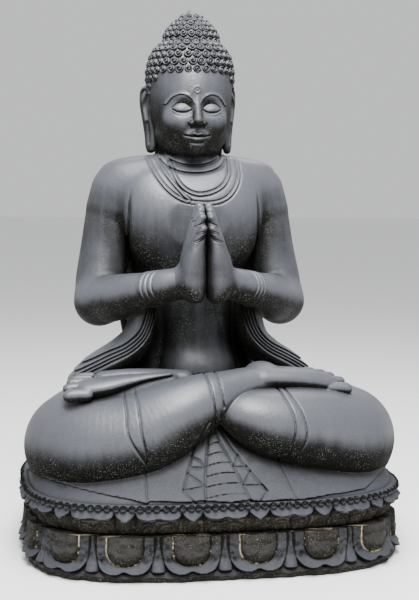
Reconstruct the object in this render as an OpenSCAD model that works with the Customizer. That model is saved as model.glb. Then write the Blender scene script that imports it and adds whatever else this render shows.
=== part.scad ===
// Garden statue of a seated figure with joined palms on a double lotus pedestal.
// Seven carved stone blocks are bedded on thin mortar and pinned with steel dowels.
// Millimetres, +Z up, the figure faces -Y, origin at the middle of the flat underside.

/* [Pedestal] */
// Half width of the pedestal's foot
plinth_a = 412; // [402:1:416]
// Half depth of the pedestal's foot
plinth_b = 310; // [300:1:314]
// Height of the lower lotus block
plinth_h = 91; // [88:1:94]
// Half width over the upper petal lips
lip_a = 422; // [414:1:426]
// Half depth over the upper petal lips
lip_b = 320; // [312:1:324]
// Petals around each tier
petals = 18; // [16:1:20]
// How far a petal bulges from the tier behind it
petal_bulge = 10; // [6:1:12]

/* [Figure] */
// Sideways place of the trunk and head, which sit a little off the pedestal's middle
figure_x = -32; // [-36:1:-28]
// Sideways place of the middle between the knees
lap_x = -2; // [-6:1:2]
// Depth of the trunk's middle behind the pedestal's middle
trunk_y = 85; // [82:1:88]
// Height of the joint between lap and trunk
waist_z = 385; // [383:1:387]
// Height of the joint under the chin
neck_z = 869; // [868:1:871]
// Height of the joint under the topknot
crown_z = 1114; // [1112:1:1116]
// Height of the topknot's tip
statue_h = 1198; // [1190:1:1205]

/* [Joints] */
// Thickness of a mortar bed
bed_t = 3; // [2:0.5:3]
// How far a bed is raked back from the stone's edge
bed_rake = 9; // [6:1:12]
// Radius of the large dowels
dowel_r = 8; // [6:1:10]
// Radius of the small dowels
small_dowel_r = 5; // [4:1:6]
// Depth of resin around each dowel
resin_t = 2; // [1:0.5:3]

/* [Hidden] */
seat_z = plinth_h + bed_t;
seat_top = seat_z + 68;
lap_z = seat_top + bed_t;
torso_z = waist_z + bed_t;
head_z = neck_z + bed_t;
topknot_z = crown_z + bed_t;
square_n = 3.3; // squareness of the pedestal's plan, 2 being an ellipse
round_n = 2;
head_y = 88;
dowel_l = 100;
small_dowel_l = 60;
plinth_pins = [for (x = [-230, 230], y = [-140, 140]) [x, y]];
seat_pins = [for (x = [-150, 110], y = [-90, 150]) [x, y]];
waist_pins = [for (s = [-1, 1]) [figure_x + s * 85, trunk_y]];
neck_pin = [figure_x, head_y - 4];
crown_pin = [figure_x, head_y + 8];
elbow = [208, 38, 535]; // offset from the figure's mid-plane, then y and z
cuff = [112, -96, 576];
cuff_r = 33;
forearm = cuff - elbow;
forearm_l = norm(forearm);
cuff_turn = acos(forearm[2] / forearm_l);

// ---- outlines and smooth rings ----

function power(v, e) = sign(v) * pow(abs(v), e);

// One point of a superellipse outline at angle t
function oval(a, b, n, t) = [a * power(cos(t), 2 / n), b * power(sin(t), 2 / n)];

// Catmull-Rom blend of four rows of numbers at u from 0 to 1
function blend(p0, p1, p2, p3, u) =
    0.5 * (2 * p1 + (p2 - p0) * u + (2 * p0 - 5 * p1 + 4 * p2 - p3) * u * u
    + (3 * p1 - p0 - 3 * p2 + p3) * u * u * u);

// Rows with steps smooth ones between each pair of given ones
function smooth(rows, steps) = [
    for (i = [0 : len(rows) - 2], j = [0 : steps - 1])
        blend(rows[max(i - 1, 0)], rows[i], rows[i + 1], rows[min(i + 2, len(rows) - 1)], j / steps),
    rows[len(rows) - 1]
];

// Closed solid through equal rings of points, each ring turning anticlockwise about the way forward
module skin(rings) {
    sides = len(rings[0]);
    last = len(rings) - 1;
    walls = [for (k = [0 : last - 1], i = [0 : sides - 1])
        let (j = (i + 1) % sides, a = k * sides + i, b = k * sides + j)
        each [[a, a + sides, b], [b, a + sides, b + sides]]];
    start_cap = [[for (i = [0 : sides - 1]) i]];
    end_cap = [[for (i = [sides - 1 : -1 : 0]) last * sides + i]];
    polyhedron(points = [for (r = rings) each r], faces = concat(start_cap, end_cap, walls), convexity = 6);
}

// Upright solid from rows of [z, middle x, middle y, half width, half depth, squareness]
module loft(rows, sides = 32, steps = 3) {
    skin([for (r = smooth(rows, steps))
        [for (i = [0 : sides - 1]) let (p = oval(r[3], r[4], r[5], 360 * i / sides))
            [r[1] + p[0], r[2] + p[1], r[0]]]]);
}

// Rounded limb through rows of [x, y, z, radius], flat at an end only if its last row is not tiny
module limb(rows, sides = 20, steps = 3) {
    path = smooth(rows, steps);
    last = len(path) - 1;
    skin([for (k = [0 : last])
        let (
            way = k == 0 ? path[1] - path[0] : k == last ? path[last] - path[last - 1] : path[k + 1] - path[k - 1],
            d = [way[0], way[1], way[2]] / norm([way[0], way[1], way[2]]),
            flat = cross(d, [0, 0, 1]),
            across = flat / norm(flat),
            over = cross(across, d))
        [for (i = [0 : sides - 1])
            [path[k][0], path[k][1], path[k][2]]
            + path[k][3] * (cos(360 * i / sides) * across - sin(360 * i / sides) * over)]]);
}

// A tier of the pedestal with bulging petals, from rows of [z, half width, half depth, share of the bulge]
module tier(rows, shift) {
    sides = petals * 8;
    skin([for (r = smooth(rows, 2))
        [for (i = [0 : sides - 1])
            let (t = 360 * i / sides,
                bulge = petal_bulge * r[3] * abs(cos(180 * (i / 8 + shift))),
                p = oval(r[1] + bulge, r[2] + bulge, square_n, t))
            [p[0], p[1], r[0]]]]);
}

module at_cuff(side, along) {
    translate([figure_x, 0, 0] + [side * cuff[0], cuff[1], cuff[2]])
        rotate([0, cuff_turn, atan2(forearm[1], side * forearm[0])])
            translate([0, 0, along]) children();
}

// ---- steel, resin and mortar ----

module pins(places, z, r, l) {
    for (p = places) translate([p[0], p[1], z - l / 2]) cylinder(r = r, h = l);
}

// Sockets for the dowels of one joint, as wide as the resin around them
module sockets(places, z, r, l) {
    pins(places, z, r + resin_t, l + 2 * resin_t);
}

// Closed cup of resin around one dowel, centred on the joint
module resin_sleeve(r, l) {
    difference() {
        translate([0, 0, -l / 2 - resin_t]) cylinder(r = r + resin_t, h = l + 2 * resin_t);
        translate([0, 0, -l / 2]) cylinder(r = r, h = l);
    }
}

// Mortar bed from height z, raked back from an oval joint face and open around its dowels
module bed(z, cx, cy, a, b, n, places, r) {
    difference() {
        translate([cx, cy, z])
            linear_extrude(bed_t)
                polygon([for (i = [0 : 47]) oval(a - bed_rake, b - bed_rake, n, 360 * i / 48)]);
        for (p = places) translate([p[0], p[1], z - 1]) cylinder(r = r, h = bed_t + 2);
    }
}

// ---- the stone blocks ----

module plinth_block() {
    color("#3b3d3d")
    difference() {
        tier([
            [0, plinth_a - 14, plinth_b - 14, 0],
            [5, plinth_a - 5, plinth_b - 5, 0],
            [16, plinth_a - 1, plinth_b - 1, 0],
            [28, plinth_a - petal_bulge, plinth_b - petal_bulge, 1],
            [60, plinth_a - petal_bulge - 2, plinth_b - petal_bulge - 3, 1],
            [80, plinth_a - petal_bulge - 10, plinth_b - petal_bulge - 12, 0.9],
            [plinth_h, plinth_a - 34, plinth_b - 34, 0.4]
        ], 0);
        sockets(plinth_pins, plinth_h + bed_t / 2, dowel_r, dowel_l);
    }
}

module seat_block() {
    color("#414343")
    difference() {
        tier([
            [seat_z, plinth_a - 36, plinth_b - 34, 0.3],
            [seat_z + 14, lip_a - 24, lip_b - 22, 1],
            [seat_z + 32, lip_a - petal_bulge, lip_b - petal_bulge, 1],
            [seat_z + 42, lip_a - 11, lip_b - 12, 0.6],
            [seat_z + 50, lip_a - 12, lip_b - 14, 0],
            [seat_z + 58, lip_a - 5, lip_b - 9, 0],
            [seat_top, lip_a - 12, lip_b - 18, 0]
        ], 0.5);
        sockets(plinth_pins, plinth_h + bed_t / 2, dowel_r, dowel_l);
        sockets(seat_pins, seat_top + bed_t / 2, dowel_r, dowel_l);
    }
}

module lap_body() {
    loft([
        [lap_z, 0, -4, 402, 292, 3.1],
        [lap_z + 18, 0, -4, 397, 284, 3],
        [lap_z + 60, -4, 16, 378, 250, 2.6],
        [lap_z + 120, -8, 44, 336, 212, 2.4],
        [lap_z + 175, -16, 66, 284, 178, 2.3],
        [waist_z, -28, 78, 232, 142, 2.3]
    ], 40);
}

// Folded leg: thigh and knee, then the shin. side -1 is the figure's right leg, whose shin crosses on top
module folded_leg(side, shin) {
    knee = [lap_x + side * 294, -96, 240];
    limb([
        [lap_x + side * 60, 170, 262, 40],
        [lap_x + side * 130, 128, 262, 94],
        [lap_x + side * 224, 20, 256, 108],
        concat(knee, 108)
    ], 20, 2);
    translate(knee) sphere(r = 113, $fn = 48);
    limb(concat([
        [lap_x + side * 278, -126, 243, 60],
        [lap_x + side * 240, -146, 244, 102]
    ], shin), 20, 2);
}

module foot(rows) {
    limb(rows, 16, 2);
}

module apron() {
    loft([
        [lap_z, -28, -215, 235, 82, 3],
        [lap_z + 40, -28, -205, 165, 72, 2.6],
        [lap_z + 85, -28, -190, 95, 60, 2.2],
        [lap_z + 125, -28, -170, 40, 45, 2]
    ], 32, 2);
}

module lap_block() {
    color("#3f4142")
    difference() {
        union() {
            lap_body();
            folded_leg(-1, [[-180, -168, 262, 97], [-55, -190, 318, 74], [48, -168, 360, 50], [112, -142, 378, 34]]);
            folded_leg(1, [[165, -165, 256, 94], [75, -185, 262, 82], [20, -190, 268, 60], [0, -190, 270, 28]]);
            foot([[90, -150, 385, 22], [118, -142, 386, 36], [190, -138, 376, 37], [262, -132, 360, 32], [308, -126, 350, 13]]);
            foot([[-80, -128, 384, 16], [-130, -128, 382, 32], [-210, -126, 376, 34], [-290, -122, 366, 32], [-330, -118, 360, 14]]);
            apron();
        }
        translate([-600, -600, lap_z - 200]) cube([1200, 1200, 200]);
        sockets(seat_pins, seat_top + bed_t / 2, dowel_r, dowel_l);
        sockets(waist_pins, waist_z + bed_t / 2, dowel_r, dowel_l);
    }
}

module trunk() {
    loft([
        [torso_z, figure_x, trunk_y, 165, 130, 2.4],
        [450, figure_x, trunk_y, 152, 122, 2.3],
        [560, figure_x, trunk_y, 160, 118, 2.3],
        [680, figure_x, trunk_y, 178, 122, 2.4],
        [770, figure_x, trunk_y + 3, 196, 112, 2.4],
        [815, figure_x, trunk_y + 6, 198, 96, 2.4],
        [842, figure_x, trunk_y + 6, 186, 84, 2.3],
        [857, figure_x, trunk_y + 4, 156, 76, 2.2],
        [865, figure_x, trunk_y + 2, 112, 70, 2.1],
        [neck_z, figure_x, head_y - 4, 72, 64, 2]
    ], 40);
}

// Upper arm and sleeved forearm, from the shoulder to the cuff
module sleeve(side) {
    limb([for (r = [
        [122, 92, 812, 42],
        [162, 90, 788, 62],
        [176, 88, 732, 59],
        [191, 82, 655, 55],
        [204, 68, 582, 55],
        [elbow[0], elbow[1] + 14, elbow[2] + 6, 55]
    ]) [figure_x + side * r[0], r[1], r[2], r[3]]], 20, 3);
}

module lower_sleeve(side) {
    at_cuff(side, -forearm_l)
        rotate_extrude($fn = 40) polygon([
            [0, -50], [28, -44], [46, -26], [53, 0], [50, 40], [44, 90], [cuff_r, forearm_l], [0, forearm_l]
        ]);
}

// Hanging sleeve that falls from the forearm to the thigh
module drape(side) {
    loft([for (r = [
        [torso_z, 148, 52, 92, 86, 2.3],
        [406, 142, 50, 72, 86, 2.3],
        [428, 136, 42, 50, 84, 2.3],
        [458, 128, 34, 42, 84, 2.4],
        [515, 140, 8, 44, 84, 2.4],
        [560, 148, 0, 40, 66, 2.2]
    ]) [r[0], figure_x + side * r[1], r[2], r[3], r[4], r[5]]], 28, 2);
}

module torso_block() {
    color("#404244")
    difference() {
        union() {
            trunk();
            for (side = [-1, 1]) {
                sleeve(side);
                lower_sleeve(side);
                drape(side);
            }
        }
        sockets(waist_pins, waist_z + bed_t / 2, dowel_r, dowel_l);
        sockets([neck_pin], neck_z + bed_t / 2, dowel_r, dowel_l);
        for (side = [-1, 1])
            at_cuff(side, 1 - small_dowel_l / 2 - resin_t)
                cylinder(r = small_dowel_r + resin_t, h = small_dowel_l + 2 * resin_t);
    }
}

// Hand plate from the wrist to the fingertips, thicker at the heel
module palm(side) {
    loft([for (r = [
        [552, 18, -132, 24, 30, 2.4],
        [572, 24, -138, 30, 42, 2.5],
        [620, 21, -136, 27, 44, 2.5],
        [680, 14, -122, 19, 42, 2.5],
        [730, 9, -106, 13, 36, 2.4],
        [764, 5, -92, 9, 20, 2.2]
    ]) [r[0], figure_x + side * r[1], r[2], r[3], r[4], r[5]]], 24, 2);
}

module wrist(side) {
    at_cuff(side, 2)
        rotate_extrude($fn = 40)
            polygon([[0, 0], [cuff_r - 2, 0], [30, 30], [34, 62], [28, 92], [0, 104]]);
}

module hands_block() {
    color("#454748")
    difference() {
        union() {
            for (side = [-1, 1]) {
                palm(side);
                wrist(side);
            }
        }
        for (side = [-1, 1])
            at_cuff(side, 1 - small_dowel_l / 2 - resin_t)
                cylinder(r = small_dowel_r + resin_t, h = small_dowel_l + 2 * resin_t);
    }
}

module skull() {
    loft([
        [head_z, figure_x, head_y - 4, 66, 60, 2],
        [886, figure_x, 68, 68, 80, 2.1],
        [904, figure_x, 62, 77, 91, 2.1],
        [940, figure_x, 70, 88, 104, 2.2],
        [1000, figure_x, 80, 95, 112, 2.2],
        [1050, figure_x, 88, 101, 112, 2.2],
        [1085, figure_x, 92, 90, 96, 2.1],
        [crown_z, figure_x, head_y + 8, 66, 66, 2]
    ], 36);
}

// Ear with its long lobe
module ear(side) {
    loft([for (r = [
        [874, 78, 66, 8, 9, 2.2],
        [900, 84, 70, 9, 13, 2.3],
        [950, 92, 78, 9, 16, 2.3],
        [990, 97, 84, 10, 24, 2.2],
        [1016, 100, 88, 8, 16, 2]
    ]) [r[0], figure_x + side * r[1], r[2], r[3], r[4], r[5]]], 16, 2);
}

module head_block() {
    color("#3d3f40")
    difference() {
        union() {
            skull();
            for (side = [-1, 1]) ear(side);
        }
        sockets([neck_pin], neck_z + bed_t / 2, dowel_r, dowel_l);
        sockets([crown_pin], crown_z + bed_t / 2, small_dowel_r, small_dowel_l);
    }
}

module topknot_block() {
    color("#3d3f40")
    difference() {
        loft([
            [topknot_z, figure_x, head_y + 8, 69, 69, 2],
            [topknot_z + 20, figure_x, head_y + 8, 68, 68, 2],
            [topknot_z + 42, figure_x, head_y + 8, 58, 58, 2],
            [topknot_z + 60, figure_x, head_y + 8, 42, 42, 2],
            [statue_h - 7, figure_x, head_y + 8, 17, 17, 2],
            [statue_h, figure_x, head_y + 8, 4, 4, 2]
        ], 32);
        sockets([crown_pin], crown_z + bed_t / 2, small_dowel_r, small_dowel_l);
    }
}

// ---- mortar beds ----

module plinth_mortar() {
    color("#8c887c")
        bed(plinth_h, 0, 0, plinth_a - 34, plinth_b - 34, square_n, plinth_pins, dowel_r + resin_t);
}

module seat_mortar() {
    color("#8c887c") bed(seat_top, 0, -4, 402, 292, 3.1, seat_pins, dowel_r + resin_t);
}

module waist_mortar() {
    color("#8c887c") bed(waist_z, figure_x, trunk_y, 165, 130, 2.4, waist_pins, dowel_r + resin_t);
}

module neck_mortar() {
    color("#8c887c") bed(neck_z, figure_x, head_y - 4, 66, 60, 2, [neck_pin], dowel_r + resin_t);
}

module crown_mortar() {
    color("#8c887c") bed(crown_z, figure_x, head_y + 8, 66, 66, 2, [crown_pin], small_dowel_r + resin_t);
}

module wrist_mortar(side) {
    color("#8c887c")
    at_cuff(side, 0)
        difference() {
            cylinder(r = cuff_r - 5, h = 2);
            translate([0, 0, -1]) cylinder(r = small_dowel_r + resin_t, h = 4);
        }
}

// ---- dowels and the resin around them ----

module dowels(places, z, r, l) {
    color("silver") pins(places, z, r, l);
}

module wrist_dowel(side) {
    color("silver") at_cuff(side, 1 - small_dowel_l / 2) cylinder(r = small_dowel_r, h = small_dowel_l);
}

module resin_at(places, z, r, l) {
    for (p = places) translate([p[0], p[1], z]) resin_sleeve(r, l);
}

module dowel_resin() {
    color("#c9b98a") {
        resin_at(plinth_pins, plinth_h + bed_t / 2, dowel_r, dowel_l);
        resin_at(seat_pins, seat_top + bed_t / 2, dowel_r, dowel_l);
        resin_at(waist_pins, waist_z + bed_t / 2, dowel_r, dowel_l);
        resin_at([neck_pin], neck_z + bed_t / 2, dowel_r, dowel_l);
        resin_at([crown_pin], crown_z + bed_t / 2, small_dowel_r, small_dowel_l);
        for (side = [-1, 1]) at_cuff(side, 1) resin_sleeve(small_dowel_r, small_dowel_l);
    }
}

plinth_block();
seat_block();
lap_block();
torso_block();
hands_block();
head_block();
topknot_block();
plinth_mortar();
seat_mortar();
waist_mortar();
neck_mortar();
crown_mortar();
wrist_mortar(-1);  // right_wrist_mortar
wrist_mortar(1);  // left_wrist_mortar
dowels(plinth_pins, plinth_h + bed_t / 2, dowel_r, dowel_l);  // plinth_dowels
dowels(seat_pins, seat_top + bed_t / 2, dowel_r, dowel_l);  // seat_dowels
dowels(waist_pins, waist_z + bed_t / 2, dowel_r, dowel_l);  // waist_dowels
dowels([neck_pin], neck_z + bed_t / 2, dowel_r, dowel_l);  // neck_dowel
dowels([crown_pin], crown_z + bed_t / 2, small_dowel_r, small_dowel_l);  // crown_dowel
wrist_dowel(-1);  // right_wrist_dowel
wrist_dowel(1);  // left_wrist_dowel
dowel_resin();
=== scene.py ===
import math

import bmesh
import bpy
import numpy as np
import openvdb as vdb
from mathutils import Matrix, Vector


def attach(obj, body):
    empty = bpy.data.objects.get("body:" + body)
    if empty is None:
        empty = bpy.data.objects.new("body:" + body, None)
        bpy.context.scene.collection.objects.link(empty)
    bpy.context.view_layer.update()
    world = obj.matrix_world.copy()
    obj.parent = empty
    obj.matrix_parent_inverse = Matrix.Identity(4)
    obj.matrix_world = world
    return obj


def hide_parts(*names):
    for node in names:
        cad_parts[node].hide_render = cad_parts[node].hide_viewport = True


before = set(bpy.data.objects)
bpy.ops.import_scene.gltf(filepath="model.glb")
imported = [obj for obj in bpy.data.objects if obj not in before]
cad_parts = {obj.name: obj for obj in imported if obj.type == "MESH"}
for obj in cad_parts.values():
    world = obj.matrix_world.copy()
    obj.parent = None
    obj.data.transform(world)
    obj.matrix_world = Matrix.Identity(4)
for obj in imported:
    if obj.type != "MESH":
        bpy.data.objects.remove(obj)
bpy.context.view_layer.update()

# Every length is in metres. The figure's mid-plane lies a little off the pedestal's middle.
FX = -0.032
GRAIN = 1.0  # multiplies the modelling grids' steps
MOST_TRIANGLES = 190000  # in one clay piece

# Heights of the middle of each mortar bed, where neighbouring stones meet
SEAT_Z = 0.0925
LAP_Z = 0.1575
WAIST_Z = 0.3865
NECK_Z = 0.8705
CROWN_Z = 1.1155


# ---------------------------------------------------------------- curves


def smooth(rows, steps):
    """Rows of numbers with Catmull-Rom ones between them."""
    rows = np.array(rows, float)
    out = []
    for i in range(len(rows) - 1):
        a, b = rows[max(i - 1, 0)], rows[i]
        c, d = rows[i + 1], rows[min(i + 2, len(rows) - 1)]
        for j in range(steps):
            u = j / steps
            square, cube = 2 * a - 5 * b + 4 * c - d, 3 * b - a - 3 * c + d
            out.append(0.5 * (2 * b + (c - a) * u + square * u * u + cube * u**3))
    out.append(rows[-1])
    return np.array(out)


def beside(path, gap):
    """A flat path moved sideways by gap, to its left as it runs."""
    path = np.array(path, float)
    way = np.gradient(path, axis=0)
    way /= np.linalg.norm(way, axis=1)[:, None] + 1e-12
    return path + gap * np.stack([-way[:, 1], way[:, 0]], 1)


def gap_to(path, u, v):
    """Distance from (u, v) to a flat path of straight pieces."""
    best = None
    for a, b in zip(path[:-1], path[1:]):
        e = b - a
        t = np.clip(((u - a[0]) * e[0] + (v - a[1]) * e[1]) / (e @ e + 1e-12), 0, 1)
        near = (u - a[0] - t * e[0]) ** 2 + (v - a[1] - t * e[1]) ** 2
        best = near if best is None else np.minimum(best, near)
    return np.sqrt(best)


def ease(x):
    """0 below 0 and 1 above 1, smoothly."""
    x = np.clip(x, 0, 1)
    return x * x * (3 - 2 * x)


def bell(x, width):
    """1 where x is 0, fading out over about twice the width."""
    return np.exp(-((x / width) ** 2))


# ---------------------------------------------------------------- modelling clay


def soft_min(a, b, k):
    """The smaller of two, blended where they differ by less than k."""
    if k <= 0:
        return np.minimum(a, b)
    h = np.maximum(k - np.abs(a - b), 0) / k
    return np.minimum(a, b) - h * h * (k * 0.25)


def ball(centre, radius):
    """Ellipsoid, or a sphere if radius is one number."""
    c = np.array(centre, float)
    r = np.array([radius] * 3 if np.isscalar(radius) else radius, float)

    def field(x, y, z):
        x, y, z = (x - c[0]) / r[0], (y - c[1]) / r[1], (z - c[2]) / r[2]
        k0 = np.sqrt(x * x + y * y + z * z)
        k1 = np.sqrt((x / r[0]) ** 2 + (y / r[1]) ** 2 + (z / r[2]) ** 2)
        return k0 * (k0 - 1) / (k1 + 1e-6)

    return field, c - r, c + r


def limb(rows, steps=8, axis=None, stretch=1.0):
    """Rounded limb through rows of (x, y, z, radius), stretched across itself along axis."""
    rows = smooth(rows, steps)
    pull = np.eye(3)
    if axis is not None:
        axis = np.array(axis, float) / np.linalg.norm(axis)
        pull = pull + (1 / stretch - 1) * np.outer(axis, axis)
    core = rows[:, :3] @ pull.T
    start, way = core[:-1], np.diff(core, axis=0)
    length2 = np.sum(way**2, axis=1) + 1e-12

    def near_ones(x, y, z):
        """The stretches of the limb that can be nearest to anything in this block of points."""
        mid = np.array([(a.min() + a.max()) / 2 for a in (x, y, z)])
        half = np.array([(a.max() - a.min()) / 2 for a in (x, y, z)])
        mid, reach = pull @ mid, np.linalg.norm(np.abs(pull) @ half)
        t = np.clip(((mid - start) * way).sum(1) / length2, 0, 1)
        d = np.linalg.norm(mid - start - t[:, None] * way, axis=1)
        low = d - reach - np.maximum(rows[:-1, 3], rows[1:, 3])
        high = d + reach - np.minimum(rows[:-1, 3], rows[1:, 3])
        return np.nonzero(low <= high.min())[0]

    def field(x, y, z):
        keep = near_ones(x, y, z)
        if axis is not None:
            x, y, z = (m[0] * x + m[1] * y + m[2] * z for m in pull)
        best = None
        for i in keep:
            a, e = start[i], way[i]
            dx, dy, dz = x - a[0], y - a[1], z - a[2]
            t = np.clip((dx * e[0] + dy * e[1] + dz * e[2]) / length2[i], 0, 1)
            near = np.sqrt((dx - t * e[0]) ** 2 + (dy - t * e[1]) ** 2 + (dz - t * e[2]) ** 2)
            near = near - (rows[i, 3] + (rows[i + 1, 3] - rows[i, 3]) * t)
            best = near if best is None else np.minimum(best, near)
        return best

    reach = (rows[:, 3] * max(stretch, 1.0))[:, None]
    return field, (rows[:, :3] - reach).min(0), (rows[:, :3] + reach).max(0)


def loft(rows, steps=6):
    """Upright solid from rows of (z, middle x, middle y, half width, half depth, squareness)."""
    rows = smooth(rows, steps)

    def field(x, y, z):
        cx, cy, a, b, n = (np.interp(z, rows[:, 0], rows[:, i]).astype(np.float32) for i in range(1, 6))
        x, y = x - cx, y - cy
        rho = ((np.abs(x) / a) ** n + (np.abs(y) / b) ** n) ** (1 / n)
        out = np.sqrt(x * x + y * y)
        out = out - out / np.maximum(rho, 1e-3)
        return np.maximum(out, np.maximum(z - rows[-1, 0], rows[0, 0] - z))

    low = [(rows[:, 1] - rows[:, 3]).min(), (rows[:, 2] - rows[:, 4]).min(), rows[0, 0]]
    high = [(rows[:, 1] + rows[:, 3]).max(), (rows[:, 2] + rows[:, 4]).max(), rows[-1, 0]]
    return field, np.array(low), np.array(high)


def boundless(field):
    """A shape that may reach anywhere."""
    return field, np.full(3, -9.0), np.full(3, 9.0)


def half_space(point, normal):
    """Everything behind a plane."""
    n = np.array(normal, float) / np.linalg.norm(normal)
    d = float(n @ np.array(point, float))
    return boundless(lambda x, y, z: n[0] * x + n[1] * y + n[2] * z - d)


class Clay:
    """A solid on a grid of signed distances. Shapes are added and cut, and marks pressed in, in order."""

    meshed = []  # every clay, once it has its mesh

    def __init__(self, low, high, step):
        self.low = np.array(low, float)
        self.step = step * GRAIN
        self.count = np.ceil((np.array(high, float) - self.low) / self.step).astype(int) + 1
        self.moves = []

    def add(self, shape, soft=0.0):
        self.moves.append(("add",) + shape + (soft,))

    def cut(self, shape, soft=0.0):
        self.moves.append(("cut",) + shape + (soft,))

    def keep(self, shape, soft=0.0):
        self.moves.append(("keep",) + shape + (soft,))

    def press(self, field, low, high):
        """field is how far the surface sinks at each point, and is zero outside low to high."""
        self.moves.append(("press", field, np.array(low, float), np.array(high, float), 0.0))

    def score(self, path, width, depth, y, pair=0.0, lift=0.0):
        """Cuts a line along a path of (x, z), between two y, or a pair of lines with a lifted band."""
        path = np.array(path, float)
        reach = 3 * width + pair

        def field(x, _, z):
            d = gap_to(path, x, z)
            lifted = lift * ease((pair - d) / width + 0.5) if pair else 0
            return depth * bell(d - pair, width) - lifted

        low, high = path.min(0) - reach, path.max(0) + reach
        self.press(field, (low[0], y[0], low[1]), (high[0], y[1], high[1]))

    def ring(self, centre, axis, places, width, depth, reach):
        """Rings round a limb, at places along its axis from centre."""
        n = np.array(axis, float) / np.linalg.norm(axis)
        c = np.array(centre, float)

        def field(x, y, z):
            t = (x - c[0]) * n[0] + (y - c[1]) * n[1] + (z - c[2]) * n[2]
            far = (x - c[0]) ** 2 + (y - c[1]) ** 2 + (z - c[2]) ** 2
            mask = ease((reach**2 - far) / (0.3 * reach**2))
            return mask * sum(depth * bell(t - p, width) for p in places)

        self.press(field, c - reach, c + reach)

    def values(self, axes):
        """Signed distances at every crossing of three axes."""
        x = axes[0].astype(np.float32)[:, None, None]
        y = axes[1].astype(np.float32)[None, :, None]
        z = axes[2].astype(np.float32)[None, None, :]
        d = np.full((x.size, y.size, z.size), 1.0, np.float32)
        first = np.array([a[0] for a in axes])
        last = np.array([a[-1] for a in axes])
        for how, field, low, high, soft in self.moves:
            if np.any(high + soft < first) or np.any(low - soft > last):
                continue
            v = field(x, y, z)
            if how == "add":
                d = soft_min(d, v, soft)
            elif how == "cut":
                d = -soft_min(-d, v, soft)
            elif how == "keep":
                d = -soft_min(-d, -v, soft)
            else:
                inside = [(a >= low[i]) & (a <= high[i]) for i, a in enumerate(axes)]
                d = d + v * (inside[0][:, None, None] & inside[1][None, :, None] & inside[2][None, None, :])
        return d

    def fill(self):
        """Works out the grid block by block, coarsely first, and finely only near the surface."""
        size, stride, outside = 24, 6, 0.05
        self.grid = np.full(self.count, outside, np.float32)
        self.coarse_step = self.step * stride
        coarse_count = ((self.count - 1) // size + 1) * (size // stride) + 1
        self.coarse = np.full(coarse_count, outside, np.float32)
        axes = [self.low[i] + self.step * np.arange(self.count[i]) for i in range(3)]
        for i in range(0, self.count[0], size):
            for j in range(0, self.count[1], size):
                for k in range(0, self.count[2], size):
                    starts = (i, j, k)
                    corners = np.arange(0, size + 1, stride)
                    d = self.values([self.low[a] + self.step * (starts[a] + corners) for a in range(3)])
                    self.coarse[tuple(slice(m // stride, m // stride + len(corners)) for m in starts)] = d
                    block = tuple(slice(m, m + size) for m in starts)
                    if np.abs(d).min() > 1.3 * self.coarse_step:
                        self.grid[block] = np.sign(d.flat[0]) * outside
                    else:
                        self.grid[block] = self.values([axes[m][block[m]] for m in range(3)])

    def at(self, points, wide=False):
        """Signed distances at points, between the grid's values, or between the coarse grid's."""
        if wide:
            return between(self.coarse, self.low, self.coarse_step, points)
        return between(self.grid, self.low, self.step, points)

    def mesh(self, name):
        """Makes the object, with its notes of how hollow it is."""
        self.fill()
        far = 4 * self.step
        volume = vdb.FloatGrid(far)
        volume.copyFromArray(np.clip(self.grid, -far, far))
        points, quads = volume.convertToQuads(0.0)
        points = self.low + np.asarray(points, float) * self.step
        obj = surface(name, points, np.asarray(quads))
        thin_out(obj)
        Clay.meshed.append(self)
        return note_hollows(obj, self)


def between(grid, low, step, points):
    """The grid's values at points, straight between its corners."""
    q = np.clip((points - low) / step, 0, np.array(grid.shape) - 1.001)
    i = q.astype(int)
    f = (q - i).astype(np.float32)
    out = 0
    for corner in range(8):
        o = np.array([corner & 1, corner >> 1 & 1, corner >> 2 & 1])
        k = i + o
        out = out + np.prod(np.where(o, f, 1 - f), 1) * grid[k[:, 0], k[:, 1], k[:, 2]]
    return out


def thin_out(obj):
    """Takes triangles away where the surface is plain, if there are too many."""
    count = len(obj.data.loops) - 2 * len(obj.data.polygons)
    if count <= MOST_TRIANGLES:
        return
    change = obj.modifiers.new("thin_out", "DECIMATE")
    change.ratio = MOST_TRIANGLES / count
    whole = obj.data
    thinned = obj.evaluated_get(bpy.context.evaluated_depsgraph_get())
    obj.data = bpy.data.meshes.new_from_object(thinned)
    obj.modifiers.clear()
    bpy.data.meshes.remove(whole)
    obj.data.polygons.foreach_set("use_smooth", np.ones(len(obj.data.polygons), bool))


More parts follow.
